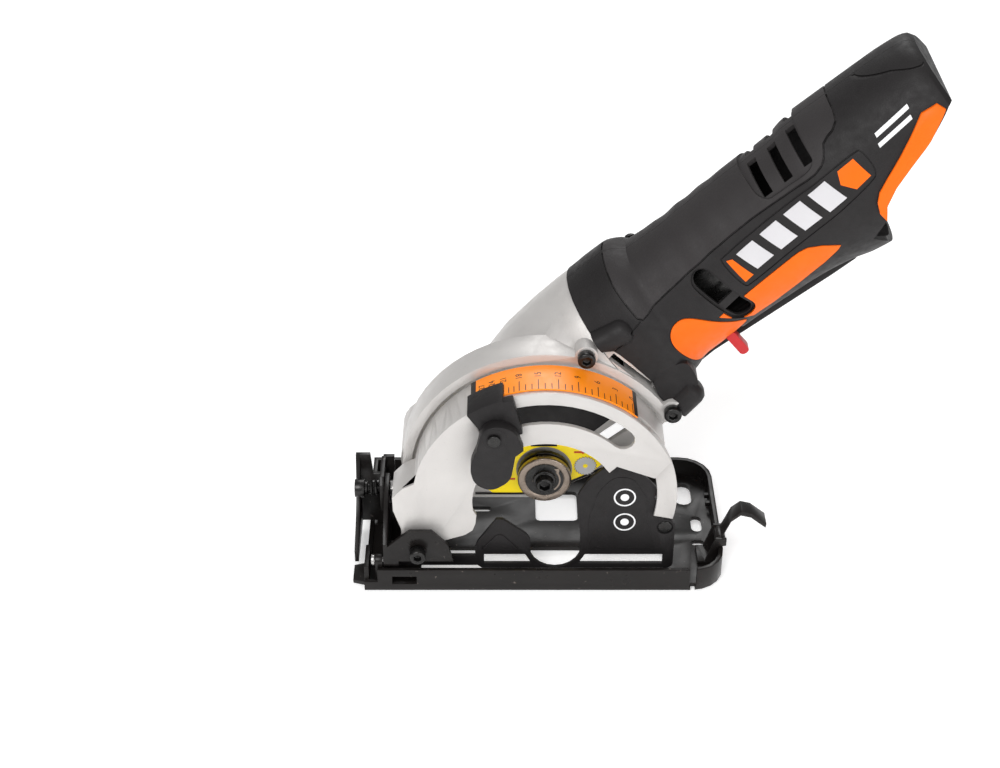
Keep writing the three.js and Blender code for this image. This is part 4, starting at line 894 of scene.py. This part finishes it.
def make_label():
    """Yellow label on the web, with plain picture marks."""
    outline = rounded(LABEL_OUTLINE, 1)
    on_web("label", outline, (WEB_FACE - 0.14, WEB_FACE), YELLOW_INK, disc(0, SPINDLE_Z, 12.6, 48))
    for name, x, z, size in LABEL_DISCS:
        on_web(name, toothed(x, z, size, 22, 0.7), LABEL_PRINT, WHITE_INK, disc(x, z, 1.1, 16))
        on_web(name + "_rim", toothed(x, z, size + 0.2, 22, 0.8), (WEB_FACE - 0.18, WEB_FACE - 0.1), DARK_INK,
               disc(x, z, size - 0.4, 24))
    on_web("label_washer", disc(-17.4, 43.6, 1.9), LABEL_PRINT, WHITE_INK, disc(-17.4, 43.6, 0.7, 16))
    on_web("label_arrow_low", LABEL_ARROW, LABEL_PRINT, RED_INK)
    on_web("label_arrow_high", [(-x + 0.2, z + 15) for x, z in LABEL_ARROW], LABEL_PRINT, RED_INK)
    on_web("label_block", LABEL_BLOCK, LABEL_PRINT, DARK_INK)
    on_web("chamber_lining", arc_band(20, 43, -66, 46, 40), (WEB_FACE - 0.1, WEB_FACE),
           LOOKS["black_plastic"], outline)
    on_web("label_edge", LABEL_EDGE, (WEB_FACE - 0.2, WEB_FACE), DARK_INK)


def make_marks():
    """Round marks on the guard plate, and the turning arrow on the flange."""
    for i, (x, z) in enumerate(GUARD_MARKS):
        name = f"guard_mark_{i + 1}"
        plate(name, disc(x, z, 4.9, 36), GUARD_PRINT, WHITE_INK, "frame",
              disc(x, z, 4.2, 36))
        plate(name + "_dot", disc(x, z, 1.9, 24), GUARD_PRINT, WHITE_INK, "frame")
    plate("flange_face", disc(0, SPINDLE_Z, 8.5, 48), FLANGE_PLATE, LOOKS["dark_steel"],
          "output", disc(0, SPINDLE_Z, 5.3))
    bronze = LOOKS["flange_bronze"]
    plate("flange_arrow", arc_band(6.5, 7.2, 50, 140), FLANGE_PRINT, bronze, "output")
    plate("flange_arrow_head", [(4.2, 50.6), (6.2, 48.2), (6.6, 50.9)], FLANGE_PRINT, bronze,
          "output")


# ---- all pieces ----
REBUILT = {"handle_near", "handle_far", "depth_scale"}
CORNERS = {"depth_lever": 0.0034, "guard_plate": 0.003, "depth_slider": 0.001}
EDGE = 0.0003
for name in list(frame["nodes"]):
    if name not in REBUILT:
        dress(name, 0 if name == "bevel_spring" else EDGE, CORNERS.get(name, 0.0))
make_handle()
make_shoulder()
make_scale()
make_label()
make_marks()


# ---- stage ----
FLOOR_HALF = 12                   # metres, as everything on the stage
FLOOR_DROP = 0.0004               # keeps the floor just under the sole
FLOOR_GLOW = 0.36                 # a pale floor that stays bright away from the lights
WORLD_LIGHT = 0.34
# Name, place, target, diameter and watts of each lamp.
LAMPS = (("key", (-0.45, -0.9, 1.1), (0.03, 0, 0.08), 0.9, 13),
         ("fill", (0.7, -1.1, 0.5), (0.03, 0, 0.08), 0.8, 5),
         ("rim", (0.1, 0.9, 0.9), (0.03, 0, 0.1), 0.7, 5))
CAMERA_PLACE = (-0.0198, -0.6544, 0.5342)
CAMERA_DOWN = 34.57               # degrees below level
CAMERA_LENS, CAMERA_SENSOR = 64.8, 36


def floor():
    mesh = bpy.data.meshes.new("floor")
    bm = bmesh.new()
    bmesh.ops.create_grid(bm, x_segments=8, y_segments=8, size=FLOOR_HALF)
    bm.to_mesh(mesh)
    bm.free()
    obj = bpy.data.objects.new("floor", mesh)
    obj.location = (0, 0, -FLOOR_DROP)
    bpy.context.scene.collection.objects.link(obj)
    s = Shader("floor", (0.93, 0.93, 0.93), 0.6)
    s.color = s.mix(s.noise(3, 3), (0.9, 0.9, 0.9), (0.94, 0.94, 0.94))
    obj.data.materials.append(s.done(Emission_Color=(1.0, 1.0, 1.0, 1.0), Emission_Strength=FLOOR_GLOW))


def area_light(name, location, target, size, power):
    data = bpy.data.lights.new(name, "AREA")
    data.shape = "DISK"
    data.size = size
    data.energy = power
    obj = bpy.data.objects.new(name, data)
    obj.location = location
    obj.rotation_euler = (Vector(target) - Vector(location)).to_track_quat("-Z", "Y").to_euler()
    bpy.context.scene.collection.objects.link(obj)


def studio():
    bpy.context.scene.view_settings.view_transform = "Standard"
    world = bpy.data.worlds.new("studio")
    bpy.context.scene.world = world
    world.use_nodes = True
    background = world.node_tree.nodes["Background"]
    background.inputs["Color"].default_value = (1.0, 1.0, 1.0, 1.0)
    background.inputs["Strength"].default_value = WORLD_LIGHT
    for lamp in LAMPS:
        area_light(*lamp)


def camera():
    data = bpy.data.cameras.new("camera")
    data.lens = CAMERA_LENS
    data.sensor_width = CAMERA_SENSOR
    obj = bpy.data.objects.new("camera", data)
    obj.location = CAMERA_PLACE
    obj.rotation_euler = (math.radians(90 - CAMERA_DOWN), 0, 0)
    bpy.context.scene.collection.objects.link(obj)
    bpy.context.scene.camera = obj


floor()
studio()
camera()
